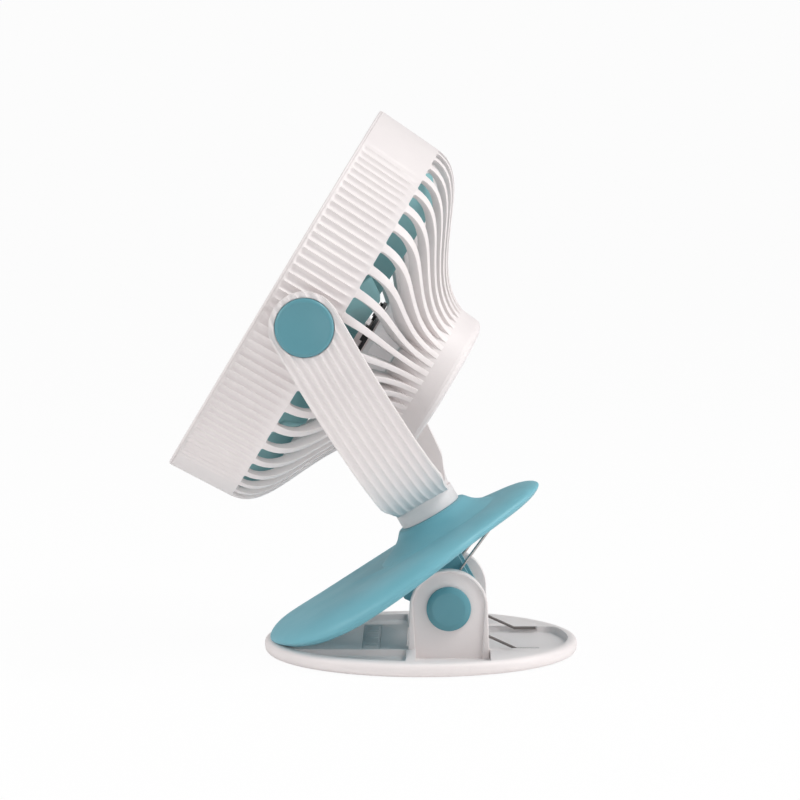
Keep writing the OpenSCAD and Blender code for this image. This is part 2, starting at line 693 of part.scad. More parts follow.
module stator() color([0.72, 0.45, 0.25]) head_frame() translate([0, 0, at(blade_rear)]) difference() {
    cylinder(h = stator_h, r = can_r - can_wall - air_gap, $fn = 96);
    translate([0, 0, -lap]) cylinder(h = stator_h + 2 * lap, r = tube_out + 0.1, $fn = 64);
    for (i = [0:coils - 1]) rotate(i * 360 / coils)
        translate([tube_out + 2, -slot_w / 2, -lap]) cube([can_r, slot_w, stator_h + 2 * lap]);
}

module bearings() color("silver") head_frame() for (a = [tube_front + 6, mount_a + mount_t])
    translate([0, 0, at(a)]) difference() {
        cylinder(h = bearing_h, r = tube_in, $fn = 64);
        translate([0, 0, -lap]) cylinder(h = bearing_h + 2 * lap, r = shaft_r + run_gap, $fn = 48);
    }

module rotor_can() color([0.55, 0.55, 0.57]) head_frame() difference() {
    translate([0, 0, at(blade_rear)]) cylinder(h = blade_rear - can_front, r = can_r, $fn = 96);
    translate([0, 0, at(blade_rear + lap)])
        cylinder(h = blade_rear + lap - can_front - can_cap, r = can_r - can_wall, $fn = 96);
    translate([0, 0, at(blade_rear)]) cylinder(h = blade_rear, r = shaft_r + fit_gap, $fn = 48);
}

module motor_shaft() color("silver") head_frame() translate([0, 0, at(mount_a + mount_t + 1)])
    cylinder(h = mount_a + mount_t + 1 - 9, r = shaft_r, $fn = 48);

module spinner_nut() color("silver") head_frame() translate([0, 0, at(blade_front - 0.4)]) difference() {
    cylinder(h = 3, r = 3.6, $fn = 64);
    translate([0, 0, -lap]) cylinder(h = 6, r = shaft_r + fit_gap, $fn = 48);
}

// One point of a blade: u runs from hub to tip and v from the front edge to the rear edge
function blade_point(u, v, side) = let (
    r = cup_r - 0.8 + u * (blade_r - cup_r + 0.8),
    cut = min(1, max(0, (blade_r - r) / (blade_r - tip_guard))),
    rear = tip_cut + (blade_rear - tip_cut) * cut,
    front = blade_front + 3 * u * u,
    a = front + v * (rear - front),
    twist = blade_twist_hub + (blade_twist_tip - blade_twist_hub) * u,
    turn = (v - 0.5) * twist + 8 * sin(180 * v) + 10 * u,
    t = side * blade_t / 2 * (0.35 + 0.65 * sin(180 * v)))
    [r * cos(turn), r * sin(turn), at(a) + t];

module blade() {
    n = blade_cols;
    sheet = (n + 1) * (blade_rows + 1);
    points = [for (side = [-1, 1], i = [0:blade_rows], j = [0:n])
        blade_point(i / blade_rows, j / n, side)];
    function id(side, i, j) = side * sheet + i * (n + 1) + j;
    faces = concat(
        [for (i = [0:blade_rows - 1], j = [0:n - 1])
            [id(0, i, j), id(0, i + 1, j), id(0, i + 1, j + 1), id(0, i, j + 1)]],
        [for (i = [0:blade_rows - 1], j = [0:n - 1])
            [id(1, i, j), id(1, i, j + 1), id(1, i + 1, j + 1), id(1, i + 1, j)]],
        [for (i = [0:blade_rows - 1]) [id(0, i, 0), id(1, i, 0), id(1, i + 1, 0), id(0, i + 1, 0)]],
        [for (i = [0:blade_rows - 1]) [id(0, i + 1, n), id(1, i + 1, n), id(1, i, n), id(0, i, n)]],
        [for (j = [0:n - 1]) [id(0, 0, j + 1), id(1, 0, j + 1), id(1, 0, j), id(0, 0, j)]],
        [for (j = [0:n - 1], i = [blade_rows])
            [id(0, i, j), id(1, i, j), id(1, i, j + 1), id(0, i, j + 1)]]);
    polyhedron(points, faces);
}

module impeller() color(teal) head_frame() {
    difference() {
        rotate_extrude($fn = 96) polygon([[0, at(blade_front)], [cup_r - 5, at(blade_front)],
            [cup_r - 1.5, at(blade_front + 1.5)], [cup_r, at(blade_front + 5)], [cup_r, at(blade_rear)],
            [cup_r - cup_wall, at(blade_rear)], [cup_r - cup_wall, at(can_front - 0.5)],
            [0, at(can_front - 0.5)]]);
        translate([0, 0, at(40)]) cylinder(h = 40, r = shaft_r + fit_gap, $fn = 48);
    }
    for (i = [0:blades - 1]) rotate(i * 360 / blades) blade();
}

// ---- Hub ----

cover_t = 2.2;
button_r = 6.5;
button_flange = 1.2;
light_r = 1.6;
cover_screw_r = 1.2;
cover_screw_head = 2.2;
cover_screw_len = 8;
screw_sink = 1;
cover_screw_ring = hub_in - 5;
port_x = -17;                    // charging port, towards the drum's lower edge
port_h = 3.4;
port_w = 9.2;
light_x = 16;
board2_a = head_depth - cover_t - 4.6;   // rear face of the control board
board2_t = 1.2;
cell_l = 44;
cell_w = 32;
cell_t = 9;

module at_cover_screws()
    for (a = [150, 270, 30]) rotate(a) translate([cover_screw_ring, 0, 0]) children();

module rear_cover() color(white) head_frame() difference() {
    rotate_extrude($fn = 128) polygon([[0, at(head_depth)], [hub_r - 4, at(head_depth)],
        [hub_r - 1.6, at(head_depth - 0.9)], [hub_r - 0.3, at(head_depth - 2.4)], [hub_r, at(hub_a)],
        [hub_in, at(hub_a)], [hub_in, at(hub_a - 2)], [hub_in - 2, at(hub_a - 2)],
        [hub_in - 2, at(head_depth - cover_t)], [0, at(head_depth - cover_t)]]);
    translate([0, 0, at(head_depth + lap)]) cylinder(h = 2 * cover_t + lap, r = button_r + 0.3, $fn = 64);
    translate([port_x, 0, at(head_depth)])
        cube([port_h + 0.4, port_w + 0.4, 4 * cover_t], center = true);
    translate([light_x, 0, at(head_depth + lap)])
        cylinder(h = 2 * cover_t + lap, r = light_r + run_gap, $fn = 32);
    at_cover_screws() translate([0, 0, at(head_depth + lap)]) {
        cylinder(h = 2 * cover_t + lap, r = cover_screw_r + run_gap, $fn = 32);
        cylinder(h = lap + screw_sink, r = cover_screw_head + run_gap, $fn = 32);
    }
}

module cover_screws() color("silver") head_frame() at_cover_screws() translate([0, 0, at(head_depth)]) {
    cylinder(h = screw_sink, r = cover_screw_head, $fn = 32);
    cylinder(h = cover_screw_len, r = cover_screw_r, $fn = 32);
}

module control_board() color([0.1, 0.35, 0.2]) head_frame() {
    difference() {
        translate([0, 0, at(board2_a)]) cylinder(h = board2_t, r = hub_in - 2.4, $fn = 96);
        at_cover_screws() translate([0, 0, at(board2_a + lap)])
            cylinder(h = 5, r = cover_screw_r + 0.3, $fn = 32);
    }
    translate([0, 0, at(board2_a + 2)]) cylinder(h = 2.1, r = 2.5, $fn = 48);
}

module usb_port() color("silver") head_frame() translate([port_x, 0, at(head_depth - 0.2)]) difference() {
    translate([-port_h / 2, -port_w / 2, 0]) cube([port_h, port_w, head_depth - 0.2 - board2_a]);
    translate([0.4 - port_h / 2, 0.4 - port_w / 2, -lap]) cube([port_h - 0.8, port_w - 0.8, 3.5 + lap]);
}

module charge_light() color([0.85, 0.95, 0.85]) head_frame() translate([light_x, 0, at(head_depth + 0.2)])
    cylinder(h = head_depth + 0.2 - board2_a, r = light_r, $fn = 32);

module power_button() color(teal) head_frame() {
    translate([0, 0, at(head_depth - 0.1)]) cylinder(h = cover_t + 0.6, r = button_r, $fn = 64);
    translate([0, 0, at(head_depth - cover_t - 0.1)]) cylinder(h = 1, r = button_r + button_flange, $fn = 64);
}

module battery_cell() color([0.3, 0.45, 0.75]) head_frame()
    translate([-cell_l / 2, -cell_w / 2, at(board2_a - board2_t - seat_gap)]) cube([cell_l, cell_w, cell_t]);

base_dish();
base_grip_pad();
base_pad();
clip_pin();
pin_cap_near();
pin_cap_far();
clip_spring();
clip_jaw();
jaw_grip_pad();
spring_arms();
swivel_washer();
swivel_nut();
yoke();
swivel_collar();
swivel_bolt();
tilt_washers();
pivot_cap_near();
pivot_cap_far();
drum_shell();
rear_guard();
front_grille();
grille_cap();
tilt_screws();
motor_housing();
motor_board();
stator();
bearings();
battery_cell();
control_board();
usb_port();
rear_cover();
cover_screws();
charge_light();
power_button();
impeller();
rotor_can();
motor_shaft();
spinner_nut();
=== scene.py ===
# %% [markdown]
# # A clip-on fan, dressed in Blender
# The fan comes from its CAD model as a set of plain solids that already have their right sizes
# and places. This notebook leaves those solids where they are, gives each of them a finish, and
# models the visible shells again with softer edges, flutes and ribs.
# Lengths are written in millimetres and multiplied by `MM`, because the scene is in metres.

import json
from math import acos, asin, atan2, ceil, cos, degrees, hypot, pi, radians, sin, sqrt, tan

import bmesh
import bpy
from mathutils import Matrix, Vector


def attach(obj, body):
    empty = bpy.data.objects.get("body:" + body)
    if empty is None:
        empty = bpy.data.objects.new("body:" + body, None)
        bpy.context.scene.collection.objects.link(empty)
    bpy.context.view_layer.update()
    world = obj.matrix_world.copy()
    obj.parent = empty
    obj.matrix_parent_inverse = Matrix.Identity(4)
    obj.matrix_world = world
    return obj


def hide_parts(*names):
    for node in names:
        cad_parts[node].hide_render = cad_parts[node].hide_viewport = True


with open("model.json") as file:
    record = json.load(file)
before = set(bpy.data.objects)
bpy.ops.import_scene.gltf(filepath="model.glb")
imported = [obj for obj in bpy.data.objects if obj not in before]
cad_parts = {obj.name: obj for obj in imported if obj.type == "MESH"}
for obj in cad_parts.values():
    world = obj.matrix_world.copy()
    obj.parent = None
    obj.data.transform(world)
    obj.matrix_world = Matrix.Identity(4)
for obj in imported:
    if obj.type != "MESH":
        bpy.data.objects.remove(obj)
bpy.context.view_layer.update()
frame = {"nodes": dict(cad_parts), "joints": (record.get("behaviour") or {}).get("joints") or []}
MM = 0.001
print("solids:", len(frame["nodes"]))

# %% [markdown]
# ## Three places to build from
# The base stands on the table. The jaw turns about the clip's pin, the yoke leans away from it,
# and the head tilts on the yoke's two screws. Each of these has its own frame, a small set of
# axes. Modelling a drum upright and then turning its frame is much easier than modelling it
# tilted.

# %% Frames of the base, jaw, yoke and head
joints = {joint["name"]: joint for joint in frame["joints"]}
PIN = Vector(joints["clip_hinge"]["pos_m"])
PIVOT = Vector(joints["head_tilt"]["pos_m"])
YOKE_UP = Vector(joints["yoke_swivel"]["axis"]).normalized()
HEAD_FRONT = Vector(joints["fan_spin"]["axis"]).normalized()
BOSS_CANT = radians(1.7)


def frame_at(place, up):
    """A frame at a place whose Z runs along up and whose Y is the fan's own Y."""
    side = Vector((0, 1, 0))
    along = side.cross(up).normalized()
    turned = Matrix((along, side, up)).transposed().to_4x4()
    return Matrix.Translation(place) @ turned


BASE = Matrix.Identity(4)
if YOKE_UP.z < 0:
    YOKE_UP.negate()
if HEAD_FRONT.x > 0:
    HEAD_FRONT.negate()
lean = atan2(-YOKE_UP.x, YOKE_UP.z)
slope = lean - BOSS_CANT
JAW = frame_at(PIN, Vector((-sin(slope), 0, cos(slope))))
YOKE = frame_at(PIVOT, YOKE_UP)
HEAD = frame_at(PIVOT, HEAD_FRONT)
print("jaw slope", round(degrees(slope), 2), "yoke lean", round(degrees(lean), 2))

# %% [markdown]
# ## Camera
# The fan is seen from its side, a little from above, through a long lens, so that the far side
# is only slightly smaller than the near side.

# %% Camera
AIM = Vector((-9.37, 0, 112.6)) * MM
CAMERA_WAY = (0.64, 6.03)  # degrees round the fan and above the table
CAMERA_DISTANCE = 1500 * MM
around, above = (radians(angle) for angle in CAMERA_WAY)
back = Vector((sin(around) * cos(above), -cos(around) * cos(above), sin(above)))
bpy.ops.object.camera_add(location=AIM + back * CAMERA_DISTANCE)
camera = bpy.context.object
camera.name = "side_camera"
camera.rotation_mode = "QUATERNION"
camera.rotation_quaternion = (-back).to_track_quat("-Z", "Y")
camera.data.lens = 152.05
camera.data.sensor_width = 36
bpy.context.scene.camera = camera
print("camera at", [round(v, 3) for v in camera.location])

# %% [markdown]
# ## Table and light
# A product like this is shown on a pale table that runs up into a pale background. The table
# here is one sheet: flat under the fan and bent up behind it. Large soft lamps keep the shadows
# weak. What the camera sees of the world is pure white and of the table almost so, while their
# light on the fan stays at a plain level. Light Path tells those two apart.

# %% Sockets to reckon with
class Wire:
    """A socket whose +, - and * add the Math nodes they stand for."""

    def __init__(self, tree, socket):
        self.tree = tree
        self.socket = socket

    def maths(self, operation, *values):
        made = self.tree.nodes.new("ShaderNodeMath")
        made.operation = operation
        for slot, value in zip(made.inputs, values):
            put(self.tree, slot, value)
        return Wire(self.tree, made.outputs[0])

    def __add__(self, other):
        return self.maths("ADD", self, other)

    def __sub__(self, other):
        return self.maths("SUBTRACT", self, other)

    def __mul__(self, other):
        return self.maths("MULTIPLY", self, other)

    def __rsub__(self, other):
        return self.maths("SUBTRACT", other, self)

    def __radd__(self, other):
        return self.maths("ADD", other, self)

    def __rmul__(self, other):
        return self.maths("MULTIPLY", other, self)


def put(tree, slot, value):
    """Links a wire to a socket, or sets the socket to a plain value."""
    if isinstance(value, Wire):
        tree.links.new(value.socket, slot)
    else:
        slot.default_value = value


print("sockets can be added, subtracted and multiplied")


# %% A material under construction
class Finish:
    """A material under construction, with one method for every kind of node."""

    def __init__(self, name):
        self.material = bpy.data.materials.new(name)
        self.material.use_nodes = True
        self.tree = self.material.node_tree
        self.shader = self.tree.nodes["Principled BSDF"]

    def node(self, kind, settings=None, out=0, **sockets):
        made = self.tree.nodes.new(kind)
        for key, value in (settings or {}).items():
            if key == "stops":
                ramp = made.color_ramp
                while len(ramp.elements) < len(value):
                    ramp.elements.new(0.5)
                for element, (place, shade) in zip(ramp.elements, value):
                    element.position = place
                    element.color = (shade, shade, shade, 1)
            else:
                setattr(made, key, value)
        for key, value in sockets.items():
            put(self.tree, made.inputs[key.replace("_", " ")], value)
        return Wire(self.tree, made.outputs[out])

    def place(self):
        return self.node("ShaderNodeTexCoord", out=3)

    def noise(self, scale, detail=2.0, roughness=0.5, place=None):
        return self.node("ShaderNodeTexNoise", Vector=place or self.place(), Scale=scale,
                         Detail=detail, Roughness=roughness)

    def ramp(self, value, *stops):
        return self.node("ShaderNodeValToRGB", {"stops": stops}, Fac=value)

    def blend(self, factor, first, second):
        mix = self.tree.nodes.new("ShaderNodeMix")
        mix.data_type = "RGBA"
        put(self.tree, mix.inputs[0], factor)
        put(self.tree, mix.inputs[6], first)
        put(self.tree, mix.inputs[7], second)
        return Wire(self.tree, mix.outputs[2])

    def bump(self, height, strength, distance):
        return self.node("ShaderNodeBump", Height=height, Strength=strength, Distance=distance)

    def set(self, **sockets):
        for key, value in sockets.items():
            put(self.tree, self.shader.inputs[key.replace("_", " ")], value)
        return self.material


def colour(red, green, blue):
    """A screen colour of 0 to 255 as the linear numbers that a shader reads."""
    def linear(value):
        value /= 255
        return value / 12.92 if value <= 0.04045 else ((value + 0.055) / 1.055) ** 2.4
    return (linear(red), linear(green), linear(blue), 1)


print("a finish can grow:", ", ".join(name for name in vars(Finish) if name[0] != "_"))

# %% Table
def table_finish():
    finish = Finish("pale_table")
    tree = finish.tree
    grain = finish.noise(220, 3)
    finish.set(Base_Color=finish.blend(grain * 0.15, colour(246, 245, 245), colour(236, 235, 235)),
               Roughness=0.75)
    glow = finish.node("ShaderNodeEmission", Color=(1, 1, 1, 1), Strength=1.0)
    path = tree.nodes.new("ShaderNodeLightPath")
    seen = Wire(tree, path.outputs["Is Camera Ray"])
    mixed = tree.nodes.new("ShaderNodeMixShader")
    put(tree, mixed.inputs[0], seen * TABLE_GLOW)
    tree.links.new(finish.shader.outputs[0], mixed.inputs[1])
    tree.links.new(glow.socket, mixed.inputs[2])
    tree.links.new(mixed.outputs[0], tree.nodes["Material Output"].inputs[0])
    return finish.material


TABLE_GLOW = 0.95  # how much of the seen table is pure white instead of lit
TABLE_SIZE = 6.0
SWEEP_STEP, WALL_HEIGHT = 0.26, 3.0
bpy.ops.object.select_all(action="DESELECT")
bpy.ops.mesh.primitive_plane_add(size=TABLE_SIZE, location=(0, 0, 0))
table = bpy.context.object
table.name = "table"
bpy.ops.object.mode_set(mode="EDIT")
bpy.ops.mesh.select_mode(type="EDGE")
bpy.ops.mesh.select_all(action="DESELECT")
sheet = bmesh.from_edit_mesh(table.data)
for edge in sheet.edges:
    edge.select_set(all(v.co.y > TABLE_SIZE / 2 - 0.01 for v in edge.verts))
bmesh.update_edit_mesh(table.data)
for rise in range(1, 10):
    angle = radians(rise * 10 - 5)
    bpy.ops.mesh.extrude_region_move(
        TRANSFORM_OT_translate={"value": (0, SWEEP_STEP * cos(angle), SWEEP_STEP * sin(angle))})
bpy.ops.mesh.extrude_region_move(TRANSFORM_OT_translate={"value": (0, 0, WALL_HEIGHT)})
bpy.ops.object.mode_set(mode="OBJECT")
bpy.ops.object.transform_apply(location=True, rotation=True, scale=True)
bpy.ops.object.shade_smooth()
table.data.materials.append(table_finish())
print("table faces:", len(table.data.polygons))

# %% Light
AIR_LIGHT = 0.5  # the soft light that comes from all sides; the camera sees it as pure white
world = bpy.data.worlds.new("studio_air")
bpy.context.scene.world = world
world.use_nodes = True
air = world.node_tree
background = air.nodes["Background"]
background.inputs["Color"].default_value = (1, 1, 1, 1)
path = air.nodes.new("ShaderNodeLightPath")
seen_light = air.nodes.new("ShaderNodeMath")
seen_light.operation = "MULTIPLY_ADD"
seen_light.inputs[1].default_value = 1 - AIR_LIGHT
seen_light.inputs[2].default_value = AIR_LIGHT
air.links.new(path.outputs["Is Camera Ray"], seen_light.inputs[0])
air.links.new(seen_light.outputs[0], background.inputs["Strength"])

LAMPS = {  # name: (place, size, watts, aimed at)
    "left_window": ((-1.1, -0.35, 0.75), 0.8, 5.5, (-0.03, 0, 0.1)),
    "right_window": ((1.1, -0.2, 0.45), 0.8, 5.0, (-0.03, 0, 0.1)),
    "key_from_right": ((0.75, -0.30, 1.15), 0.45, 6.0, (-0.03, 0, 0.1)),
    "front_card": ((-0.35, -0.75, 0.1), 0.35, 0.45, (0, 0, 0.02)),
}
for name, (place, size, power, aim) in LAMPS.items():
    bpy.ops.object.light_add(type="AREA", location=place)
    lamp = bpy.context.object
    lamp.name = name + "_lamp"
    lamp.rotation_mode = "QUATERNION"
    lamp.rotation_quaternion = (Vector(aim) - Vector(place)).to_track_quat("-Z", "Y")
    lamp.data.size = size
    lamp.data.energy = power
bpy.context.scene.view_settings.view_transform = "Standard"
print("lamps:", ", ".join(LAMPS))

# %% [markdown]
# ## Finishes
# Nearly everything here is injection-moulded plastic. Its colour is almost even, so what makes
# it read as plastic is the light on it: a fine spark-eroded grain in the bump, a roughness that
# wanders a little, and a faint mottling where the melt flowed. Metal gets drawing marks, rubber
# a coarse matt grain, and the boards and the cell their own patterns. All patterns use Object
# coordinates, which are metres here, so a scale of 1000 means grains about a millimetre apart.

# %% Plastic
def moulded(name, shade, deeper, rough, grain=0.35, coat=0.0, glow=0.0):
    """Moulded plastic: mottled between two close shades, with a fine grain."""
    finish = Finish(name)
    cloud = finish.noise(38, 3, 0.55)
    flow = finish.node("ShaderNodeTexNoise", Vector=finish.place(), Scale=9.0, Detail=2.0,
                       Distortion=1.2)
    fine = finish.noise(2600, 2, 0.6)
    pits = finish.ramp(finish.noise(900, 2, 0.5), (0.30, 0.0), (0.46, 1.0))
    mottle = finish.ramp(cloud * 0.6 + flow * 0.4, (0.36, 0.0), (0.66, 1.0))
    finish.set(
        Base_Color=finish.blend(mottle * 0.75 + (1 - pits) * 0.12, shade, deeper),
        Roughness=finish.ramp(cloud, (0.3, rough - 0.05), (0.7, rough + 0.06)),
        Normal=finish.bump(fine * 0.6 + pits * 0.4, grain, 0.00006),
        IOR=1.49)
    if coat:
        finish.set(Coat_Weight=coat, Coat_Roughness=0.12)
    if glow:  # painted light: emission makes the thin pale walls glow evenly, in place of light passing through them, and lightens the shaded inside
        finish.set(Emission_Color=shade, Emission_Strength=glow)
    return finish.material


WHITE = moulded("white_shell_plastic", colour(236, 230, 229), colour(230, 223, 223), 0.42)
BASE_WHITE = moulded("white_base_plastic", colour(238, 231, 230), colour(231, 224, 223), 0.38)
# painted light: the inner white glows faintly, to lighten the shade inside the head
INNER_WHITE_PAINTED_GLOW = moulded("white_inner_plastic", colour(232, 222, 222), colour(224, 213, 213), 0.5,
                      glow=0.22)
TEAL = moulded("teal_jaw_plastic", colour(116, 180, 194), colour(107, 172, 187), 0.44)
CAP_TEAL = moulded("teal_cap_plastic", colour(92, 152, 164), colour(86, 145, 158), 0.36, coat=0.12)
# painted light: the blades' teal is lighter than the jaw's, to lift the shade that the blades lie
# in behind the guard
BLADE_TEAL_PAINTED_LIGHT = moulded("teal_blade_plastic", colour(132, 180, 184), colour(124, 172, 177), 0.5)
print("plastics:", [m.name for m in (WHITE, BASE_WHITE, INNER_WHITE_PAINTED_GLOW, TEAL, CAP_TEAL, BLADE_TEAL_PAINTED_LIGHT)])

# %% Metal
def drawn_steel(name, shade, rough, along=(1, 1, 1)):
    """Bright metal with faint drawing marks."""
    finish = Finish(name)
    stretched = finish.node("ShaderNodeMapping", Vector=finish.place(), Scale=along)
    marks = finish.noise(1400, 4, 0.7, stretched)
    stain = finish.noise(60, 3)
    return finish.set(
        Base_Color=finish.blend(finish.ramp(stain, (0.35, 0.0), (0.7, 0.6)), shade,
                                [v * 0.72 for v in shade[:3]] + [1]),
        Metallic=1.0, Roughness=finish.ramp(marks, (0.3, rough - 0.07), (0.7, rough + 0.1)),
        Normal=finish.bump(marks, 0.25, 0.00004))


STEEL = drawn_steel("spring_steel", colour(196, 192, 190), 0.28, (1, 3, 1))
# painted shade: the coiled spring gets a darker copy of the spring steel, for the shade it lies in
# down in the dish
SHADED_SPRING_STEEL = drawn_steel("coil_steel", colour(132, 126, 124), 0.34, (1, 3, 1))
SCREW_STEEL = drawn_steel("screw_steel", colour(205, 205, 208), 0.34)
CAN_STEEL = drawn_steel("motor_can_steel", colour(150, 150, 154), 0.4, (1, 1, 8))
DARK_STEEL = drawn_steel("washer_steel", colour(92, 92, 94), 0.45)
print("metals:", [m.name for m in (STEEL, SHADED_SPRING_STEEL, SCREW_STEEL, CAN_STEEL, DARK_STEEL)])


# %% Rubber
def rubber(name, shade, dusty):
    """Matt rubber with a pebbled face and some dust on it."""
    finish = Finish(name)
    pebbles = finish.node("ShaderNodeTexVoronoi", Vector=finish.place(), Scale=900.0)
    dust = finish.ramp(finish.noise(140, 4, 0.65), (0.45, 0.0), (0.75, 0.7))
    return finish.set(Base_Color=finish.blend(dust, shade, dusty),
                      Roughness=0.72 + dust * 0.18,
                      Normal=finish.bump(pebbles + finish.noise(2200, 2) * 0.4, 0.5, 0.00012))


PAD_RUBBER = rubber("pad_rubber", colour(196, 194, 193), colour(222, 220, 218))
GRIP_RUBBER = rubber("grip_rubber", colour(228, 221, 220), colour(238, 233, 232))
print("rubbers:", [m.name for m in (PAD_RUBBER, GRIP_RUBBER)])


# %% Boards, windings, cell and lens
def circuit_board(name):
    """Black lacquer over faint tracks, with a scatter of bright solder joints."""
    finish = Finish(name)
    tracks = finish.node("ShaderNodeTexBrick", {"offset": 0.35}, Vector=finish.place(),
                         Color1=(0, 0, 0, 1), Color2=(0, 0, 0, 1), Mortar=(1, 1, 1, 1),
                         Scale=260.0, Mortar_Size=0.03)
    scatter = finish.node("ShaderNodeTexVoronoi", Vector=finish.place(), Scale=420.0,
                          Randomness=0.6)
    solder = finish.ramp(scatter, (0.10, 1.0), (0.16, 0.0))
    lacquer = finish.blend(tracks * 0.35, colour(30, 29, 31), colour(62, 60, 60))
    return finish.set(Base_Color=finish.blend(solder * 0.8, lacquer, colour(196, 196, 198)),
                      Metallic=solder * 0.8, Roughness=0.34 + tracks * 0.15,
                      Normal=finish.bump(tracks + solder * 2.0, 0.4, 0.00008))


def wound_copper(name):
    """Varnished wire, wound in close turns."""
    finish = Finish(name)
    turns = finish.node("ShaderNodeTexWave", {"bands_direction": "Z", "wave_profile": "SIN"},
                        Vector=finish.place(), Scale=420.0, Distortion=1.5)
    return finish.set(Base_Color=finish.blend(turns, colour(120, 62, 30), colour(196, 118, 70)),
                      Metallic=0.85, Roughness=0.3 + turns * 0.1,
                      Normal=finish.bump(turns, 0.6, 0.0002))


def shrink_wrap(name):
    """Thin wrap drawn tight over the cell, slightly wrinkled."""
    finish = Finish(name)
    wrinkles = finish.noise(90, 4, 0.6)
    drawn = finish.ramp(wrinkles, (0.4, 0.0), (0.7, 1.0))
    return finish.set(Base_Color=finish.blend(drawn, colour(70, 118, 176), colour(52, 96, 150)),
                      Roughness=0.28 + wrinkles * 0.12, Normal=finish.bump(wrinkles, 0.35, 0.0004))


def smoked_lens(name):
    """The little window over the charge light: milky, and a little see-through."""
    finish = Finish(name)
    haze = finish.noise(500, 2)
    return finish.set(Base_Color=finish.blend(haze, colour(196, 232, 214), colour(172, 214, 196)),
                      Roughness=0.22 + haze * 0.1, Transmission_Weight=0.35)


BOARD = circuit_board("board_lacquer")
COPPER = wound_copper("stator_windings")
WRAP = shrink_wrap("cell_wrap")
LENS = smoked_lens("charge_lens")
print("inside the fan:", [m.name for m in (BOARD, COPPER, WRAP, LENS)])

# %% Finishes of the solids that are kept
FINISHES = (
    (WHITE, "yoke swivel_collar drum_shell rear_guard front_grille rear_cover"),
    (BASE_WHITE, "base_dish"), (INNER_WHITE_PAINTED_GLOW, "motor_housing"), (TEAL, "clip_jaw"),
    (CAP_TEAL, "pin_cap_near pin_cap_far pivot_cap_near pivot_cap_far grille_cap power_button"),
    (BLADE_TEAL_PAINTED_LIGHT, "impeller"), (STEEL, "clip_spring spring_arms"), (CAN_STEEL, "rotor_can"),
    (SCREW_STEEL, "clip_pin swivel_nut swivel_bolt tilt_screws bearings usb_port"),
    (SCREW_STEEL, "cover_screws motor_shaft spinner_nut"),
    (DARK_STEEL, "swivel_washer tilt_washers"), (PAD_RUBBER, "base_pad"),
    (GRIP_RUBBER, "base_grip_pad jaw_grip_pad"), (BOARD, "motor_board control_board"),
    (COPPER, "stator"), (WRAP, "battery_cell"), (LENS, "charge_light"))
NODE_FINISH = {name: finish for finish, names in FINISHES for name in names.split()}
for name, solid in frame["nodes"].items():
    solid.data.materials.clear()
    solid.data.materials.append(NODE_FINISH[name])
print("solids with a finish:", len(NODE_FINISH))

# %% [markdown]
# ## Hands for modelling
# The shells are modelled with the same operators that a hand uses: add a primitive, pick some
# edges, extrude, scale, bevel, spin. A script has to pick by place instead of by mouse, so the
# helpers below open a mesh for editing, pick what passes a test, and close it again.

# %% Opening, picking and closing
def add(primitive, name, **settings):
    """Adds a primitive at the origin and leaves it as the only selected object."""
    bpy.ops.object.select_all(action="DESELECT")
    getattr(bpy.ops.mesh, "primitive_" + primitive + "_add")(**settings)
    made = bpy.context.object
    made.name = name
    made.data.name = name
    return made


def only(piece):
    """Makes a piece the only selected object, and the active one."""
    bpy.ops.object.select_all(action="DESELECT")
    piece.select_set(True)
    bpy.context.view_layer.objects.active = piece


def edit(piece):
    """Opens a piece for editing with nothing picked."""
    only(piece)
    bpy.ops.object.mode_set(mode="EDIT")
    bpy.ops.mesh.select_mode(type="VERT")
    bpy.ops.mesh.select_all(action="DESELECT")
    return bmesh.from_edit_mesh(piece.data)


def pick_all():
    bpy.ops.mesh.select_all(action="SELECT")


def edit_all(piece):
    """Opens a piece for editing with everything picked."""
    edit(piece)
    pick_all()


def leave_edit():
    bpy.ops.object.mode_set(mode="OBJECT")


def merge(distance):
    """Merges what is picked where it lies closer than a distance in mm."""
    bpy.ops.mesh.remove_doubles(threshold=distance * MM)


def pick(piece, test, kind="verts"):
    """Picks the vertices or edges whose middle passes a test, and nothing else."""
    bpy.ops.mesh.select_all(action="DESELECT")
    mesh = bmesh.from_edit_mesh(piece.data)
    for part in getattr(mesh, kind):
        middle = part.co if kind == "verts" else (part.verts[0].co + part.verts[1].co) / 2
        if test(middle):
            part.select_set(True)
    mesh.select_flush_mode()
    bmesh.update_edit_mesh(piece.data)


def close_edit(distance=0.01):
    """Merges doubled vertices, turns all faces outwards and leaves edit mode."""
    pick_all()
    merge(distance)
    bpy.ops.mesh.normals_make_consistent(inside=False)
    leave_edit()


print("a mesh can be opened, picked from and closed")


# %% Moving, scaling, turning and pulling
def move(x=0.0, y=0.0, z=0.0):
    bpy.ops.transform.translate(value=(x * MM, y * MM, z * MM))


def scale(x=1.0, y=1.0, z=1.0, about=(0, 0, 0)):
    bpy.ops.transform.resize(value=(x, y, z), center_override=[v * MM for v in about])


def turn(angle, axis, about=(0, 0, 0)):
    bpy.ops.transform.rotate(value=-radians(angle), orient_axis=axis,
                             center_override=[v * MM for v in about])


def extrude(x=0.0, y=0.0, z=0.0):
    bpy.ops.mesh.extrude_region_move(
        TRANSFORM_OT_translate={"value": (x * MM, y * MM, z * MM)})


print("what is picked can be moved, in mm and degrees")


# %% Outlines and the solids they make
def line(name, points):
    """A chain of edges through points (in mm), pulled out of one vertex."""
    piece = add("plane", name, size=MM)
    edit_all(piece)
    bpy.ops.mesh.merge(type="CENTER")
    move(*points[0])
    for before, after in zip(points, points[1:]):
        extrude(*[b - a for a, b in zip(before, after)])
    return piece


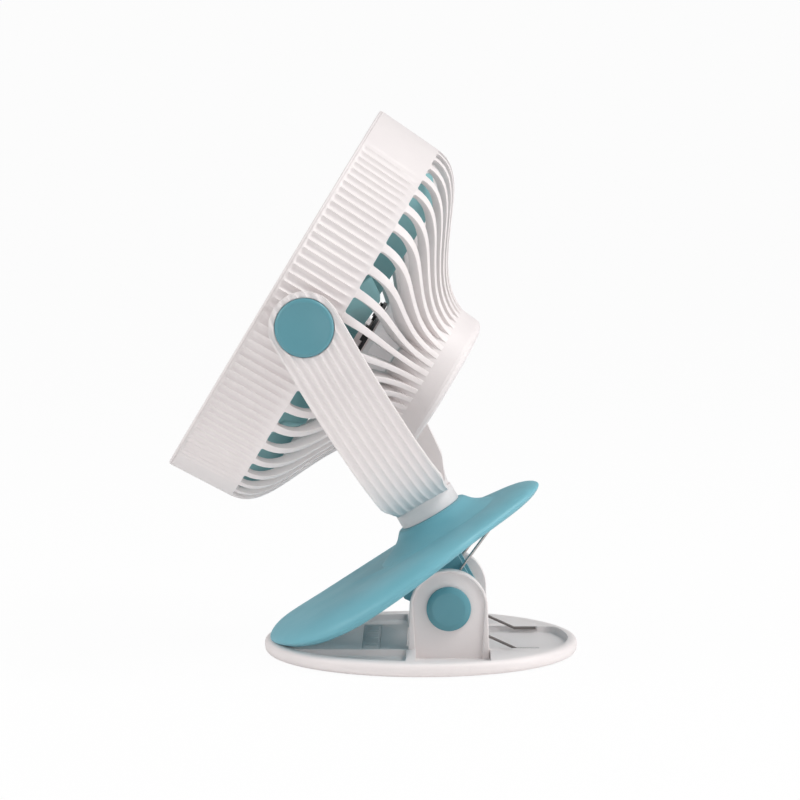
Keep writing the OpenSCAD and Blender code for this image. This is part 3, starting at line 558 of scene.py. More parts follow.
def lathe(name, outline, steps=96, closed=True):
    """Turns an outline of (radius, height) points about Z into a closed shell."""
    points = [(r, 0, h) for r, h in outline]
    if closed:
        points.append(points[0])
    piece = line(name, points)
    pick_all()
    merge(0.001)
    bpy.ops.mesh.spin(steps=steps, angle=2 * pi, center=(0, 0, 0), axis=(0, 0, 1))
    close_edit()
    return piece


def prism(name, outline, low, high):
    """An outline of (x, y) points, filled and pulled up from one height to another."""
    piece = line(name, [(x, y, low) for x, y in outline])
    pick_all()
    bpy.ops.mesh.edge_face_add()
    extrude(z=high - low)
    close_edit()
    return piece


def block(name, size, at=(0, 0, 0)):
    """A box of a size in mm with its middle at a place."""
    piece = add("cube", name, size=MM)
    edit_all(piece)
    scale(*size)
    move(*at)
    close_edit()
    return piece


def polar(radius, angle):
    """The point at a radius and at an angle in degrees."""
    return radius * cos(radians(angle)), radius * sin(radians(angle))


def profile(radius, height, *steps):
    """Outline points, each so far inside a radius and so far above a height."""
    return [(radius - inside, height + above) for inside, above in steps]


def disc(name, radius, low, high, steps=96):
    """A solid disc about Z from one height to another."""
    return lathe(name, [(0, low), (radius, low), (radius, high), (0, high)], steps, closed=False)


def rings(name, centre, outline, steps=160):
    """A closed shell through oval rings, each given as (height, half-length, half-width)."""
    piece = add("circle", name, vertices=steps, radius=MM)
    edit_all(piece)
    height, length, width = outline[0]
    scale(length, width, 1)
    move(centre, 0, height)
    bpy.ops.mesh.edge_face_add()
    for after in outline[1:]:
        extrude(z=after[0] - height)
        scale(after[1] / length, after[2] / width, 1, (centre, 0, after[0]))
        height, length, width = after
    close_edit()
    return piece


print("outlines can be turned, pulled up and ringed")


# %% Modifiers that are applied
def use(piece, kind, **settings):
    """Adds a modifier to a piece and applies it."""
    only(piece)
    modifier = piece.modifiers.new(kind.lower(), kind)
    for key, value in settings.items():
        setattr(modifier, key, value)
    bpy.ops.object.modifier_apply(modifier=modifier.name)
    return piece


def cut(piece, tool, operation="DIFFERENCE", crossing=False):
    """Cuts a piece with a tool, or joins them, and throws the tool away.

    crossing tells the solver that parts of the tool run through each other.
    """
    use(piece, "BOOLEAN", object=tool, operation=operation, solver="EXACT", use_self=crossing)
    bpy.data.objects.remove(tool)
    return piece


def heal(piece, width=0.02):
    """Melts away the slivers and tiny edges that a cut can leave."""
    edit_all(piece)
    bpy.ops.mesh.dissolve_degenerate(threshold=width * MM)
    close_edit(width)
    return piece


def soften(piece, width, segments=3, angle=35):
    """Rounds the edges that are sharper than an angle."""
    return use(piece, "BEVEL", width=width * MM, segments=segments, limit_method="ANGLE",
               angle_limit=radians(angle), use_clamp_overlap=True, harden_normals=False)


print("a piece can be cut, healed and softened")


# %% Copies and places
def twin_of(piece, change):
    """A copy of a piece with its own mesh, moved by a matrix."""
    twin = piece.copy()
    twin.data = piece.data.copy()
    bpy.context.collection.objects.link(twin)
    twin.data.transform(change)
    return twin


def copies(piece, count):
    """Repeats a piece round Z and joins the copies."""
    return join(piece, *[twin_of(piece, Matrix.Rotation(2 * pi * step / count, 4, "Z"))
                         for step in range(1, count)])


def spread(piece, places):
    """Repeats a piece at each (x, y, z) shift in mm, in place of the piece itself."""
    row = [twin_of(piece, Matrix.Translation(Vector(place) * MM)) for place in places]
    bpy.data.objects.remove(piece)
    return join(*row)


def upright(piece):
    """Stands a piece that was drawn flat on its edge, so that its face looks to -Y."""
    edit_all(piece)
    turn(90, "X")
    leave_edit()
    return piece


def shift(piece, x=0.0, y=0.0, z=0.0):
    piece.data.transform(Matrix.Translation(Vector((x, y, z)) * MM))
    return piece


def join(piece, *others):
    only(piece)
    for other in others:
        other.select_set(True)
    bpy.ops.object.join()
    return piece


def mirrored(piece):
    """A copy of a piece on the fan's other side, joined to it."""
    twin = twin_of(piece, Matrix.Scale(-1, 4, (0, 1, 0)))
    edit(twin)
    close_edit()
    return join(piece, twin)


print("a piece can be copied, spread and mirrored")


# %% Handing a piece over
def settle(piece, place, body, finish, slot, *nodes, smooth=35):
    """Takes a piece to its frame, applies that to the mesh, and puts it on its body."""
    only(piece)
    piece.matrix_world = place
    bpy.ops.object.transform_apply(location=True, rotation=True, scale=True)
    bpy.ops.object.shade_smooth_by_angle(angle=radians(smooth))
    piece.data.materials.clear()
    piece.data.materials.append(finish)
    for face in piece.data.polygons:
        face.material_index = 0
    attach(piece, body)
    if nodes:
        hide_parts(*nodes)
    print(piece.name, "faces:", len(piece.data.polygons))
    return piece


print("finished pieces can settle on their bodies")

# %% [markdown]
# ## The drum
# The drum is a short tube, a little narrower at its back. Its sides carry 140 shallow flutes to
# a turn, which fade out towards a smooth panel at the top and another at the bottom, and are
# shallower beside each tilt screw. One flute is modelled: a thin slice of the tube, six faces
# wide, whose inner columns are scaled towards the axis. Slices of different depth are then set
# side by side round the axis and merged, so that every flute keeps a true rounded shape.

# %% Sizes of the head
FRONT = 19.8  # the front plane ahead of the tilt axis
DRUM_R = 91.0
DRUM_LEN = 30.9
TAPER = tan(radians(3.5))
DRUM_WALL = 2.6
FLUTES = 140
FLUTE_DEPTH = 1.2
RING = 1.3  # depth of the front ring
RIM_STEPS, HOOP_STEPS = 200, 128  # faces round the drum's rims and round the smaller rings
SHOULDER_R = DRUM_R - DRUM_LEN * TAPER


def behind(depth):
    """Height in the head's frame of a point that lies depth behind the front plane."""
    return FRONT - depth


def drum_radius(depth):
    return DRUM_R - depth * TAPER


print("the drum narrows to a radius of", round(SHOULDER_R, 2), "mm")

# %% One flute
FLUTE_ROWS = {  # depth behind the front plane: how deep the flute is there
    RING: 0.0, 1.95: 0.25, 2.2: 0.6, 2.6: 0.9, 3.3: 1.0, 10.0: 1.0, 20.0: 1.0, 24.5: 0.95,
    27.0: 0.78, 28.8: 0.5, 30.1: 0.2, DRUM_LEN: 0.0}
FLUTE_COLUMNS = (0.62, 0.93, 1.0, 0.93, 0.62)  # how deep it is across its width
SLICE_FACES = len(FLUTE_COLUMNS) + 1


def flute_slice(name, deep):
    """One slice of the drum's wall with a flute of the given share of the full depth."""
    outer = [(drum_radius(a), behind(a)) for a in FLUTE_ROWS]
    inner = [(drum_radius(a) - DRUM_WALL, behind(a)) for a in (DRUM_LEN, RING)]
    outline = [(r, 0, h) for r, h in outer + inner]
    piece = line(name, outline + outline[:1])
    pick_all()
    merge(0.001)
    bpy.ops.mesh.spin(steps=SLICE_FACES, angle=2 * pi / FLUTES, center=(0, 0, 0), axis=(0, 0, -1))
    for column, shape in enumerate(FLUTE_COLUMNS, 1):
        for depth, share in FLUTE_ROWS.items():
            if deep * share == 0:
                continue
            angle = column * 2 * pi / FLUTES / SLICE_FACES
            radius = drum_radius(depth)
            spot = Vector((radius * cos(angle), radius * sin(angle), behind(depth))) * MM
            pick(piece, lambda co: (co - spot).length < 0.05 * MM)
            factor = 1 - FLUTE_DEPTH * deep * share * shape / radius
            scale(factor, factor, 1)
    close_edit(0.001)
    return piece


slices = {deep / 4: flute_slice(f"flute_{deep}", deep / 4) for deep in range(5)}
print("a slice has", len(slices[1.0].data.polygons), "faces; slices:", len(slices))

# %% Flutes round the drum
# Degrees from the drum's top edge: the smooth panels, and the stretch beside a tilt screw
TOP_PANEL, BOTTOM_PANEL, FADE = 30, 153, 9
BESIDE_SCREW, SCREW_SHARE = (84, 103), 0.3


def flute_share(turned):
    """How deep the flute at an angle from the drum's top edge is, in quarters."""
    side = 180 - abs(turned - 180)
    fade = min(side - TOP_PANEL, BOTTOM_PANEL - side) / FADE
    if BESIDE_SCREW[0] < side < BESIDE_SCREW[1]:
        fade = min(fade, SCREW_SHARE)
    return max(0, min(4, ceil(fade * 4))) / 4


wall = []
for index in range(FLUTES):
    shape = slices[flute_share((index + 0.5) * 360 / FLUTES)]
    wall.append(twin_of(shape, Matrix.Rotation(index * 2 * pi / FLUTES, 4, "Z")))
for shape in slices.values():
    bpy.data.objects.remove(shape)
drum = join(*wall)
drum.name = "fluted_drum"
edit_all(drum)
merge(0.005)
leave_edit()
print("the fluted tube has", len(drum.data.polygons), "faces")

# %% Bosses for the tilt screws
BOSS_FACE = 92.1
BOSS_ROOT = 84.8
TILT_BOSS_R = 10.5
tilt_boss = lathe("tilt_boss", [
    (0, BOSS_ROOT), (TILT_BOSS_R - 0.9, BOSS_ROOT), (TILT_BOSS_R - 0.1, BOSS_ROOT + 0.4),
    (TILT_BOSS_R, BOSS_FACE - 0.5), (TILT_BOSS_R - 0.5, BOSS_FACE), (0, BOSS_FACE)],
    64, closed=False)
drum = join(drum, mirrored(upright(tilt_boss)))
settle(drum, HEAD, "head", WHITE, "white_plastic", "drum_shell", smooth=50)

# %% [markdown]
# ## The front grille
# The front is closed by a ring with a thin bead, forty fine ribs, two hoops and a round badge
# plate in the middle, which stays bare. The ring is turned on a lathe. One rib is shaped from a
# cube, with its front edge drawn thin and all its edges rounded, and is then copied round.

# %% Front grille
GRILLE_RIBS = 40
BADGE_R = 19.0
INNER_R = DRUM_R - DRUM_WALL
ring = lathe("front_ring", [
    *profile(INNER_R, FRONT, (2.4, -6), (0.4, -6), (0.4, -RING)),
    *profile(DRUM_R, FRONT, (0.45, -RING), (0.2, 0.25 - RING), (0.15, -0.9), (0.3, -0.35),
             (0.75, -0.05), (1.3, 0)),
    *profile(INNER_R, FRONT, (0.4, 0), (1.4, -0.25), (2.1, -0.8), (2.4, -1.6))], RIM_STEPS)
GRILLE_RIB_W, GRILLE_RIB_DEEP, GRILLE_RIB_THIN = 1.8, 3.2, 0.55
rib_middle = (INNER_R + BADGE_R - 3.5) / 2
rib = block("grille_rib", (INNER_R - BADGE_R + 0.5, GRILLE_RIB_W, GRILLE_RIB_DEEP),
            (rib_middle, 0, behind(2.6)))
edit(rib)
pick(rib, lambda co: co.z > behind(2.5) * MM)
scale(y=GRILLE_RIB_THIN)
close_edit()
ribs = copies(soften(rib, 0.35, 2), GRILLE_RIBS)
HOOP_SHARES = (0.44, 0.7)  # of the drum's radius
hoops = [lathe(f"hoop_{index}", profile(
    share * DRUM_R, FRONT, (1, -4), (-1, -4), (-1, -1.7), (-0.6, -1.25), (0.6, -1.25), (1, -1.7)),
    HOOP_STEPS) for index, share in enumerate(HOOP_SHARES)]
hub = lathe("grille_hub", [
    (0, behind(4.2)), *profile(BADGE_R, FRONT, (0.6, -4.2), (0, -3.8), (0, -1.5), (0.5, -1.05),
                               (1, -1.05), (1, -1.6)), (0, behind(1.6))], closed=False)
grille = join(ring, ribs, *hoops, hub)
grille.name = "front_grille_ribs"
settle(grille, HEAD, "head", WHITE, "white_plastic", "front_grille")

badge = lathe("badge_plate", [
    (0, behind(1.55)), *profile(BADGE_R, FRONT, (1.2, -1.55), (1.2, -0.6), (1.5, -0.22),
                                (2.1, -0.1), (7, -0.04)), (0, behind(0.02))], closed=False)
settle(badge, HEAD, "head", CAP_TEAL, "teal_plastic", "grille_cap")

# %% [markdown]
# ## The rear guard
# Behind the drum, 48 ribs sweep in an S from the shoulder down to the motor's hub. Each is a
# thin blade of plastic. It leaves the shoulder wide and shallow, with rounded corners, grows
# deeper along its sweep, and is sunk into the hub at its other end. One rib is pulled out
# station by station along its curve from a small rectangle, its edges are rounded, and it is
# copied round the axis.

# %% Edges of a guard rib
GUARD_RIBS = 48
HEAD_DEPTH = 88.0
HUB_R = 33.6
HUB_END = HEAD_DEPTH - 3.6
RIB_START = DRUM_LEN - 0.3


def arc(p0, p1, p2, p3, count):
    """Points of a smooth arc from p0 to p3 that leaves towards p1 and arrives from p2."""
    for step in range(count):
        t = step / count
        u = 1 - t
        yield tuple(u ** 3 * a + 3 * u * u * t * b + 3 * u * t * t * c + t ** 3 * d
                    for a, b, c, d in zip(p0, p1, p2, p3))


# (depth behind the front plane, radius) along the rib's outer and inner edges
outer_edge = [*arc((RIB_START, SHOULDER_R - 0.05), (44, 88.6), (48, 73), (56, 57), 13),
              *arc((56, 57), (61, 47), (67, 36.5), (HUB_END - 6, HUB_R + 0.3), 11),
              (HUB_END - 6, HUB_R - 0.2)]
inner_edge = [*arc((RIB_START, SHOULDER_R - 2.2), (42, 86.2), (44.5, 69), (51, 51.5), 13),
              *arc((51, 51.5), (55, 43), (59, 36), (66, HUB_R - 1.2), 11),
              (67, HUB_R - 1.6)]


def rib_half_width(station):
    """Half the width of the rib's outer face: flared into the shoulder, slim at the hub."""
    run = max(0.0, outer_edge[station][0] - DRUM_LEN)
    fillet = 0.9
    flare = fillet - sqrt(max(0.0, fillet ** 2 - (fillet - min(run, fillet)) ** 2))
    return 1.2 + 0.85 * max(0.0, 1 - run / 30) ** 1.5 + flare


FOOT_STATIONS = (0.3, 0.5, 0.9, 1.4)  # close stations, where the rib's foot is rounded
outer_edge[1:1] = [(RIB_START + s, SHOULDER_R - 0.05 - s * 0.1) for s in FOOT_STATIONS]
inner_edge[1:1] = [(RIB_START + s, SHOULDER_R - 2.2 - s * 0.15) for s in FOOT_STATIONS]

print("a rib runs over", len(outer_edge), "stations")


# %% One rib of the rear guard
def rib_corners(station):
    """The four corners of the rib's section at a station: outer pair, then inner pair."""
    (a_out, r_out), (a_in, r_in) = outer_edge[station], inner_edge[station]
    half = rib_half_width(station)
    thin = half * 0.86
    return [Vector((r_out, -half, behind(a_out))) * MM, Vector((r_out, half, behind(a_out))) * MM,
            Vector((r_in, thin, behind(a_in))) * MM, Vector((r_in, -thin, behind(a_in))) * MM]


rib = add("plane", "guard_rib", size=MM)
edit_all(rib)
bpy.ops.mesh.delete(type="ONLY_FACE")
rib_mesh = bmesh.from_edit_mesh(rib.data)
rib_mesh.verts.ensure_lookup_table()
loop = [rib_mesh.verts[i] for i in (0, 1, 3, 2)]
for vert, corner in zip(loop, rib_corners(0)):
    vert.co = corner
bmesh.update_edit_mesh(rib.data)
for station in range(1, len(outer_edge)):
    bpy.ops.mesh.select_all(action="DESELECT")
    rib_mesh = bmesh.from_edit_mesh(rib.data)
    rib_mesh.verts.ensure_lookup_table()
    for vert in rib_mesh.verts[-4:]:
        vert.select_set(True)
    rib_mesh.select_flush(True)
    bmesh.update_edit_mesh(rib.data)
    bpy.ops.mesh.extrude_edges_move()
    rib_mesh = bmesh.from_edit_mesh(rib.data)
    fresh = [v for v in rib_mesh.verts if v.select]
    before = rib_corners(station - 1)
    for vert in fresh:
        nearest = min(range(4), key=lambda k: (vert.co - before[k]).length)
        vert.co = rib_corners(station)[nearest]
    bmesh.update_edit_mesh(rib.data)
bpy.ops.mesh.select_all(action="DESELECT")
bpy.ops.mesh.select_non_manifold()
bpy.ops.mesh.edge_face_add()
close_edit(0.002)
soften(rib, 0.55, 3, 50)
print("one rib has", len(rib.data.polygons), "faces")
guard_ribs = copies(rib, GUARD_RIBS)

# %% Shoulder ring and hub of the rear guard
shoulder = lathe("shoulder_ring", [
    *profile(SHOULDER_R - DRUM_WALL, behind(DRUM_LEN), (0.3, 3), (0.3, 1)),
    *profile(SHOULDER_R, behind(DRUM_LEN), (0.4, 1), (0.1, 0.4), (0.35, 0.05), (0.9, 0), (3.4, 0),
             (4, 0.5), (4, 3))], RIM_STEPS)
HUB_IN = HUB_R - 2.2
sleeve = lathe("hub_sleeve", [
    (HUB_IN, behind(60)), *profile(HUB_R, FRONT, (-2.2, -60), (-2.75, -60.4), (-2.7, -62),
                                   (-1.75, -67), (-1.1, -72.4), (-0.5, -78), (0, -HUB_END)),
    (HUB_IN, behind(HUB_END))], HOOP_STEPS)
guard = join(guard_ribs, shoulder, sleeve)
guard.name = "rear_guard_ribs"
settle(guard, HEAD, "head", WHITE, "white_plastic", "rear_guard", smooth=40)


# %% [markdown]
# ## The yoke
# The yoke is one bent strip, 30 mm wide and 4 mm thick. A flat rectangle is pulled down for the
# straight arm, spun through a short tight bend and then through the long bow, and mirrored. An
# outline seen from the side trims it to round ends and a drawn-in waist, and its edges are
# rounded. Eight round bars, bent along the same way, then cut the grooves of each arm.

# %% Sizes of the yoke
ARM_W = 30.0
ARM_T = 4.0
ARM_MID = 94.6          # from the middle plane to the middle of a straight arm
BEND_R = 60.0           # the tight bend between the straight arm and the bow
BEND_Z = -12.33         # height at which the straight arm ends
BEND_ANGLE = 19.6
BOW_MID = 96.73
ARM_IN, ARM_OUT = ARM_MID - ARM_T / 2, ARM_MID + ARM_T / 2
ARM_TOP = 18.0          # where the strip starts, before its end is trimmed round
BOW_OUT = BOW_MID + ARM_T / 2
COLLAR_R = 14.2
COLLAR_FOOT = BOW_OUT + 6.0
GROOVES = 8
GROOVE_PITCH = (ARM_W - 1.1) / GROOVES
GROOVE_R = 2.4
GROOVE_D = 0.65
GROOVE_TOP = 20.0
GROOVE_STOP = 10.2      # degrees from the bottom of the bow where the grooves run out


def bend(angle, y, z, steps):
    """Spins what is picked about a line along X through (y, z)."""
    bpy.ops.mesh.spin(steps=steps, angle=radians(angle), center=(0, y * MM, z * MM), axis=(1, 0, 0))


print("outside of an arm:", ARM_OUT, "mm, of the bow:", BOW_OUT, "mm, grooves:", GROOVES)

# %% The bent strip
corners = ((-1, ARM_IN), (1, ARM_IN), (1, ARM_OUT), (-1, ARM_OUT), (-1, ARM_IN))
strip = line("yoke_bow", [(side * ARM_W / 2, y, ARM_TOP) for side, y in corners])
pick_all()
merge(0.001)
extrude(z=BEND_Z - ARM_TOP)
bend(BEND_ANGLE, ARM_MID - BEND_R, BEND_Z, 8)
bend(90 - BEND_ANGLE, 0, 0, 36)
pick(strip, lambda co: co.z > (ARM_TOP - 0.1) * MM)
bpy.ops.mesh.edge_face_add()
pick(strip, lambda co: abs(co.y) < 0.1 * MM)
scale(y=0)
close_edit()
print("half the bow has", len(strip.data.polygons), "faces")
strip = mirrored(strip)
edit(strip)
close_edit()

# %% Round ends, waist and rounded edges
WAIST = BOW_OUT - 11
half = ARM_W / 2
side_outline = [polar(half, angle) for angle in range(0, 181, 4)]
drawn_in = [(0, 0), (0.5, 2.2), (1.6, 5), (2.2, 8), (2.2, 16)]  # (drawn in, below the waist)
side_outline += [(inside - half, -WAIST - lower) for inside, lower in drawn_in]
side_outline += [(half - inside, -WAIST - lower) for inside, lower in reversed(drawn_in)]
trim = upright(prism("side_outline", side_outline, -110, 110))
strip = cut(strip, trim, "INTERSECT")
soften(strip, 0.7, 3, 50)
print("the rounded strip has", len(strip.data.polygons), "faces")

# %% Grooves along the arms
groove = add("circle", "groove_bar", vertices=24, radius=GROOVE_R * MM)
edit_all(groove)
move(0, ARM_OUT - GROOVE_D + GROOVE_R, GROOVE_TOP)
extrude(z=BEND_Z - GROOVE_TOP)
bend(BEND_ANGLE, ARM_MID - BEND_R, BEND_Z, 8)
bend(90 - BEND_ANGLE - GROOVE_STOP, 0, 0, 30)
last = radians(90 - GROOVE_STOP)
lift, run = 1.2, 2.6
extrude(y=lift * cos(last) - run * sin(last), z=-lift * sin(last) - run * cos(last))
pick_all()
bpy.ops.mesh.fill_holes(sides=0)
close_edit()
CAP_R, CAP_WELL_R, BOLT_WELL_R = 12.4, 12.7, 4.4
cap_well = upright(disc("cap_well", CAP_WELL_R, ARM_OUT - 1.2, ARM_OUT + 2))
strip = cut(strip, mirrored(cap_well))
strip = cut(strip, disc("bolt_well", BOLT_WELL_R, 1 - BOW_OUT, -80, 48))
groove = spread(groove, [((i + 0.5 - GROOVES / 2) * GROOVE_PITCH, 0, 0) for i in range(GROOVES)])
strip = heal(cut(strip, mirrored(groove), crossing=True))
strip.name = "grooved_yoke"
settle(strip, YOKE, "yoke", WHITE, "white_plastic", "yoke", smooth=32)

# %% Collar and tilt caps
BOLT_HOLE_R = 2.1
collar = lathe("yoke_collar", [
    (BOLT_HOLE_R, -BOW_OUT + 1.0), (COLLAR_R, -BOW_OUT + 1.6),
    *profile(COLLAR_R, -COLLAR_FOOT, (0, 0.5), (0.15, 0.15), (0.5, 0)),
    (BOLT_HOLE_R, -COLLAR_FOOT)], HOOP_STEPS)
settle(collar, YOKE, "yoke", WHITE, "white_plastic", "swivel_collar")
CAP_SEAT = ARM_OUT - 0.8
caps = upright(lathe("tilt_caps", [
    (0, CAP_SEAT), *profile(CAP_R, CAP_SEAT, (0, 0), (0, 0.5), (0.15, 0.95), (0.5, 1.3),
                            (0.95, 1.55), (1.4, 1.67), (1.75, 1.66), (2.0, 1.57), (2.2, 1.5)),
    (0, CAP_SEAT + 1.5)], HOOP_STEPS, closed=False))
settle(mirrored(caps), YOKE, "yoke", CAP_TEAL, "teal_plastic", "pivot_cap_near", "pivot_cap_far")

# %% [markdown]
# ## The upper jaw
# The jaw is a shallow oval dome with a rounded lower lip, hollow underneath. A filled oval is
# pulled down and scaled ring by ring over the outside, round the lip and up the inside. Its
# points are then moved by a table of widths and lifts along the jaw. The boss that carries the
# collar flows into the dome with a hollow curve, and two lugs hang from it on the clip's pin.

# %% Dome of the jaw
JAW_CX = -9.5            # middle of the jaw along its length, from the pin
JAW_HALF = (69.0, 57.0)  # half the jaw's length and width
LIP_Z, DOME_RISE = 20.6, 8.4
# (height over the pin, how far the ring lies inside the widest one), outside then inside
dome_rings = [(29.0, 34), (28.97, 28), (28.88, 23), (28.7, 18.5), (28.4, 14.5), (28.0, 11.2),
              (27.5, 8.4), (26.9, 6.0), (26.2, 4.0), (25.5, 2.5), (24.8, 1.35), (24.1, 0.6),
              (23.5, 0.2), (22.9, 0.15), (22.3, 0.55), (21.8, 1.15), (21.35, 1.9), (20.95, 2.7),
              (20.7, 3.4), (20.6, 4.1), (20.6, 6.0), (20.9, 6.3), (21.6, 4.9), (22.7, 3.2),
              (24.2, 4.1), (25.3, 7.2), (26.2, 13), (26.6, 24), (26.6, 34)]
dome = rings("oval_jaw", JAW_CX, [(height, JAW_HALF[0] - inside, JAW_HALF[1] - 0.9 * inside)
                                  for height, inside in dome_rings])
print("the oval dome has", len(dome.data.polygons), "faces")

# %% Shape along the jaw
# Along the jaw: (x, width times, lift of the lower edge, lift of the crown)
JAW_SHAPE = [(-79, 1.34, -0.4, -0.4), (-72.6, 1.30, -2.3, -1.3), (-60.8, 1.21, -5.6, -3.6),
             (-41, 1.16, -6.2, -4.0), (-17.3, 1.09, -3.7, -2.8), (4.4, 1.04, -0.8, -0.5),
             (24.2, 0.95, 1.4, 0.6), (32, 0.85, 1.6, 0.8), (40, 0.81, 1.6, 1.0),
             (46, 0.78, 1.9, 1.9), (51.8, 0.78, 2.3, 2.7), (60, 0.84, 3.2, 2.7)]


def along_jaw(x):
    """Width, lower lift and upper lift at a place along the jaw, with soft steps between."""
    for (x0, *low), (x1, *high) in zip(JAW_SHAPE, JAW_SHAPE[1:]):
        if x <= x1:
            t = max(0.0, (x - x0) / (x1 - x0))
            return [a + (b - a) * t for a, b in zip(low, high)]
    return JAW_SHAPE[-1][1:]


dome_mesh = edit(dome)
for vert in dome_mesh.verts:
    near = [along_jaw(vert.co.x / MM + step) for step in (-9, -6, -3, 0, 3, 6, 9)]
    width, lower, upper = [sum(values) / len(near) for values in zip(*near)]
    rise = (vert.co.z / MM - LIP_Z) / DOME_RISE
    vert.co.y *= width
    vert.co.z += (lower + (upper - lower) * rise) * MM
bmesh.update_edit_mesh(dome.data)
close_edit()
print("the jaw is now", round(dome.dimensions.x / MM, 1), "by", round(dome.dimensions.y / MM, 1))

# %% Boss and lugs
BOSS_FLARE = (  # (radius, below the collar's foot)
    (0, 0), (15.6, 0), (16.3, 0.2), (16.9, 0.7), (17.5, 1.4), (18.4, 2.5), (19.4, 3.5),
    (20.6, 4.45), (22.2, 5.4), (24.2, 6.35), (26.4, 7.35), (28.6, 8.4), (30.4, 9.5), (31.6, 10.6),
    (0, 10.6))
boss = lathe("jaw_boss", [(radius, -COLLAR_FOOT - lower) for radius, lower in BOSS_FLARE],
             HOOP_STEPS, closed=False)
boss.data.transform(JAW.inverted() @ YOKE)
LUG_R, LUG_IN, LUG_OUT = 8.5, 10.5, 14.5
lug = upright(prism("jaw_lug", [
    *(polar(LUG_R, angle) for angle in range(200, 341, 6)),
    (13.5, -3), (13.5, 27), (-16.5, 24.4), (-16.5, 10.5), (-10, 2)], LUG_IN, LUG_OUT))
dome = heal(cut(cut(dome, boss, "UNION"), mirrored(lug), "UNION"))
dome.name = "domed_jaw"
settle(dome, JAW, "jaw", TEAL, "teal_plastic", "clip_jaw", smooth=40)

# %% Grip pad under the jaw's tip
JAW_PAD_X, JAW_PAD_Z = -66.5, 22.2
JAW_PAD_SIZE = (12.0, 27.2, 1.4)


def ribbed_pad(name, size, rib_length, rib_rise, pitch, beside):
    """A rubber pad with a rib across its middle and so many beside it on either hand."""
    pad = soften(block(name, size), 0.4, 3)
    pad_rib = soften(block(name + "_rib", (rib_length, 1.8, 1.2), (0, 0, rib_rise)), 0.4, 3)
    places = [(0, pitch * step, 0) for step in range(-beside, beside + 1)]
    pad = join(pad, spread(pad_rib, places))
    pad.name = "ribbed_" + name
    return pad


grip = ribbed_pad("jaw_pad", JAW_PAD_SIZE, JAW_PAD_SIZE[0] - 2, -0.8, 4, 3)
settle(shift(grip, JAW_PAD_X, 0, JAW_PAD_Z), JAW, "jaw", GRIP_RUBBER, "pale_rubber",
       "jaw_grip_pad", smooth=40)

# %% [markdown]
# ## The dish
# The dish is turned on a lathe with a soft rim. Two wells are cut beside the middle island, a
# channel with round corners for the spring's legs, and a shallow bay before each ear. The ears
# stand in the deck on straight feet, and each carries a raised border on its outer face, which
# widens towards its foot.

# %% The turned dish
PIN_X, PIN_Z = PIN.x / MM, PIN.z / MM
DECK = 6.2
FLOOR = 3.2
EAR_IN, EAR_OUT, EAR_R = 28.2, 32.2, 17.2
WELL_END = PIN_X - EAR_R - 1.2
CUT_TOP = 12.0  # the cutters end here, above the rim
ISLAND_PAD_X, PAD_SINK = PIN_X - EAR_R - 17, 2.2
dish = lathe("dish_shell", [
    (0, 0.6), (67.6, 0.6), (68.5, 0.75), (69.1, 1.2), (69.5, 2.0), (69.68, 3.0), (69.68, 4.4),
    (69.5, 5.2), (69.1, 5.8), (68.5, 6.2), (67.8, 6.43), (67.1, 6.5), (65.2, 6.5),
    (64.4, 6.4), (63.4, 6.22), (62.9, DECK), (0, DECK)], 192, closed=False)
print("the plain dish has", len(dish.data.polygons), "faces")


# %% Wells beside the island and the spring's channel
def oval_point(length, width, angle):
    return length * cos(radians(angle)), width * sin(radians(angle))


def prism_round(name, outline, low, high, corner):
    """A cutter drawn flat: its corners are rounded first, and its floor's edge after that."""
    piece = line(name, [(x, y, low) for x, y in outline])
    pick_all()
    bpy.ops.mesh.edge_face_add()
    pick(piece, lambda co: min(hypot(co.x / MM - x, co.y / MM - y) for x, y in corner[1]) < 0.01)
    bpy.ops.mesh.bevel(offset=corner[0] * MM, segments=6, affect="VERTICES")
    pick_all()
    extrude(z=high - low)
    pick_all()
    bpy.ops.mesh.normals_make_consistent(inside=False)
    pick(piece, lambda co: abs(co.z - low * MM) < 0.01 * MM, "edges")
    bpy.ops.mesh.bevel(offset=0.8 * MM, segments=3)
    close_edit()
    return piece


well_rim = [oval_point(66.5, 60.7, a) for a in (95.4, *range(98, 147, 3), 147.9)]
well_outline = [(WELL_END, EAR_OUT), *well_rim]
side_well = prism_round("side_well", well_outline, FLOOR, CUT_TOP,
                        (2.2, [well_outline[0], well_outline[1], well_outline[-1]]))
dish = cut(dish, mirrored(side_well))
channel_y = 27.4
CHANNEL_END_R = 65.6
reach = degrees(asin(channel_y / CHANNEL_END_R))
channel_end = [oval_point(CHANNEL_END_R, CHANNEL_END_R, -reach + 2 * reach * step / 12)
               for step in range(13)]
channel_outline = [(WELL_END, channel_y), (WELL_END, -channel_y), *channel_end]
channel = prism_round("spring_channel", channel_outline, FLOOR, CUT_TOP,
                      (5, [*channel_outline[:2], channel_end[0], channel_end[-1]]))
dish = cut(dish, channel)
print("dish has", len(dish.data.polygons), "faces after its wells")

# %% Bays before the ears
# The deck falls away before each ear into a shallow bay, which rises again to the rim
BAY = (PIN_X - 14.4, PIN_X + 18.2)
bay = prism("ear_bay", [(EAR_OUT - 0.5, 2.4), (EAR_OUT + 1.5, 2.2), (EAR_OUT + 5, 2.5), (42, 3.1),
                        (50, 4.2), (57, 5.6), (62, 7), (62, CUT_TOP), (EAR_OUT - 0.5, CUT_TOP)],
            *BAY)
drawn_across = Matrix(((0, 0, 1, 0), (1, 0, 0, 0), (0, 1, 0, 0), (0, 0, 0, 1)))
bay.data.transform(drawn_across)  # it was drawn in Y and Z and pulled along X
dish = cut(dish, mirrored(bay))
print("dish has", len(dish.data.polygons), "faces after its bays")

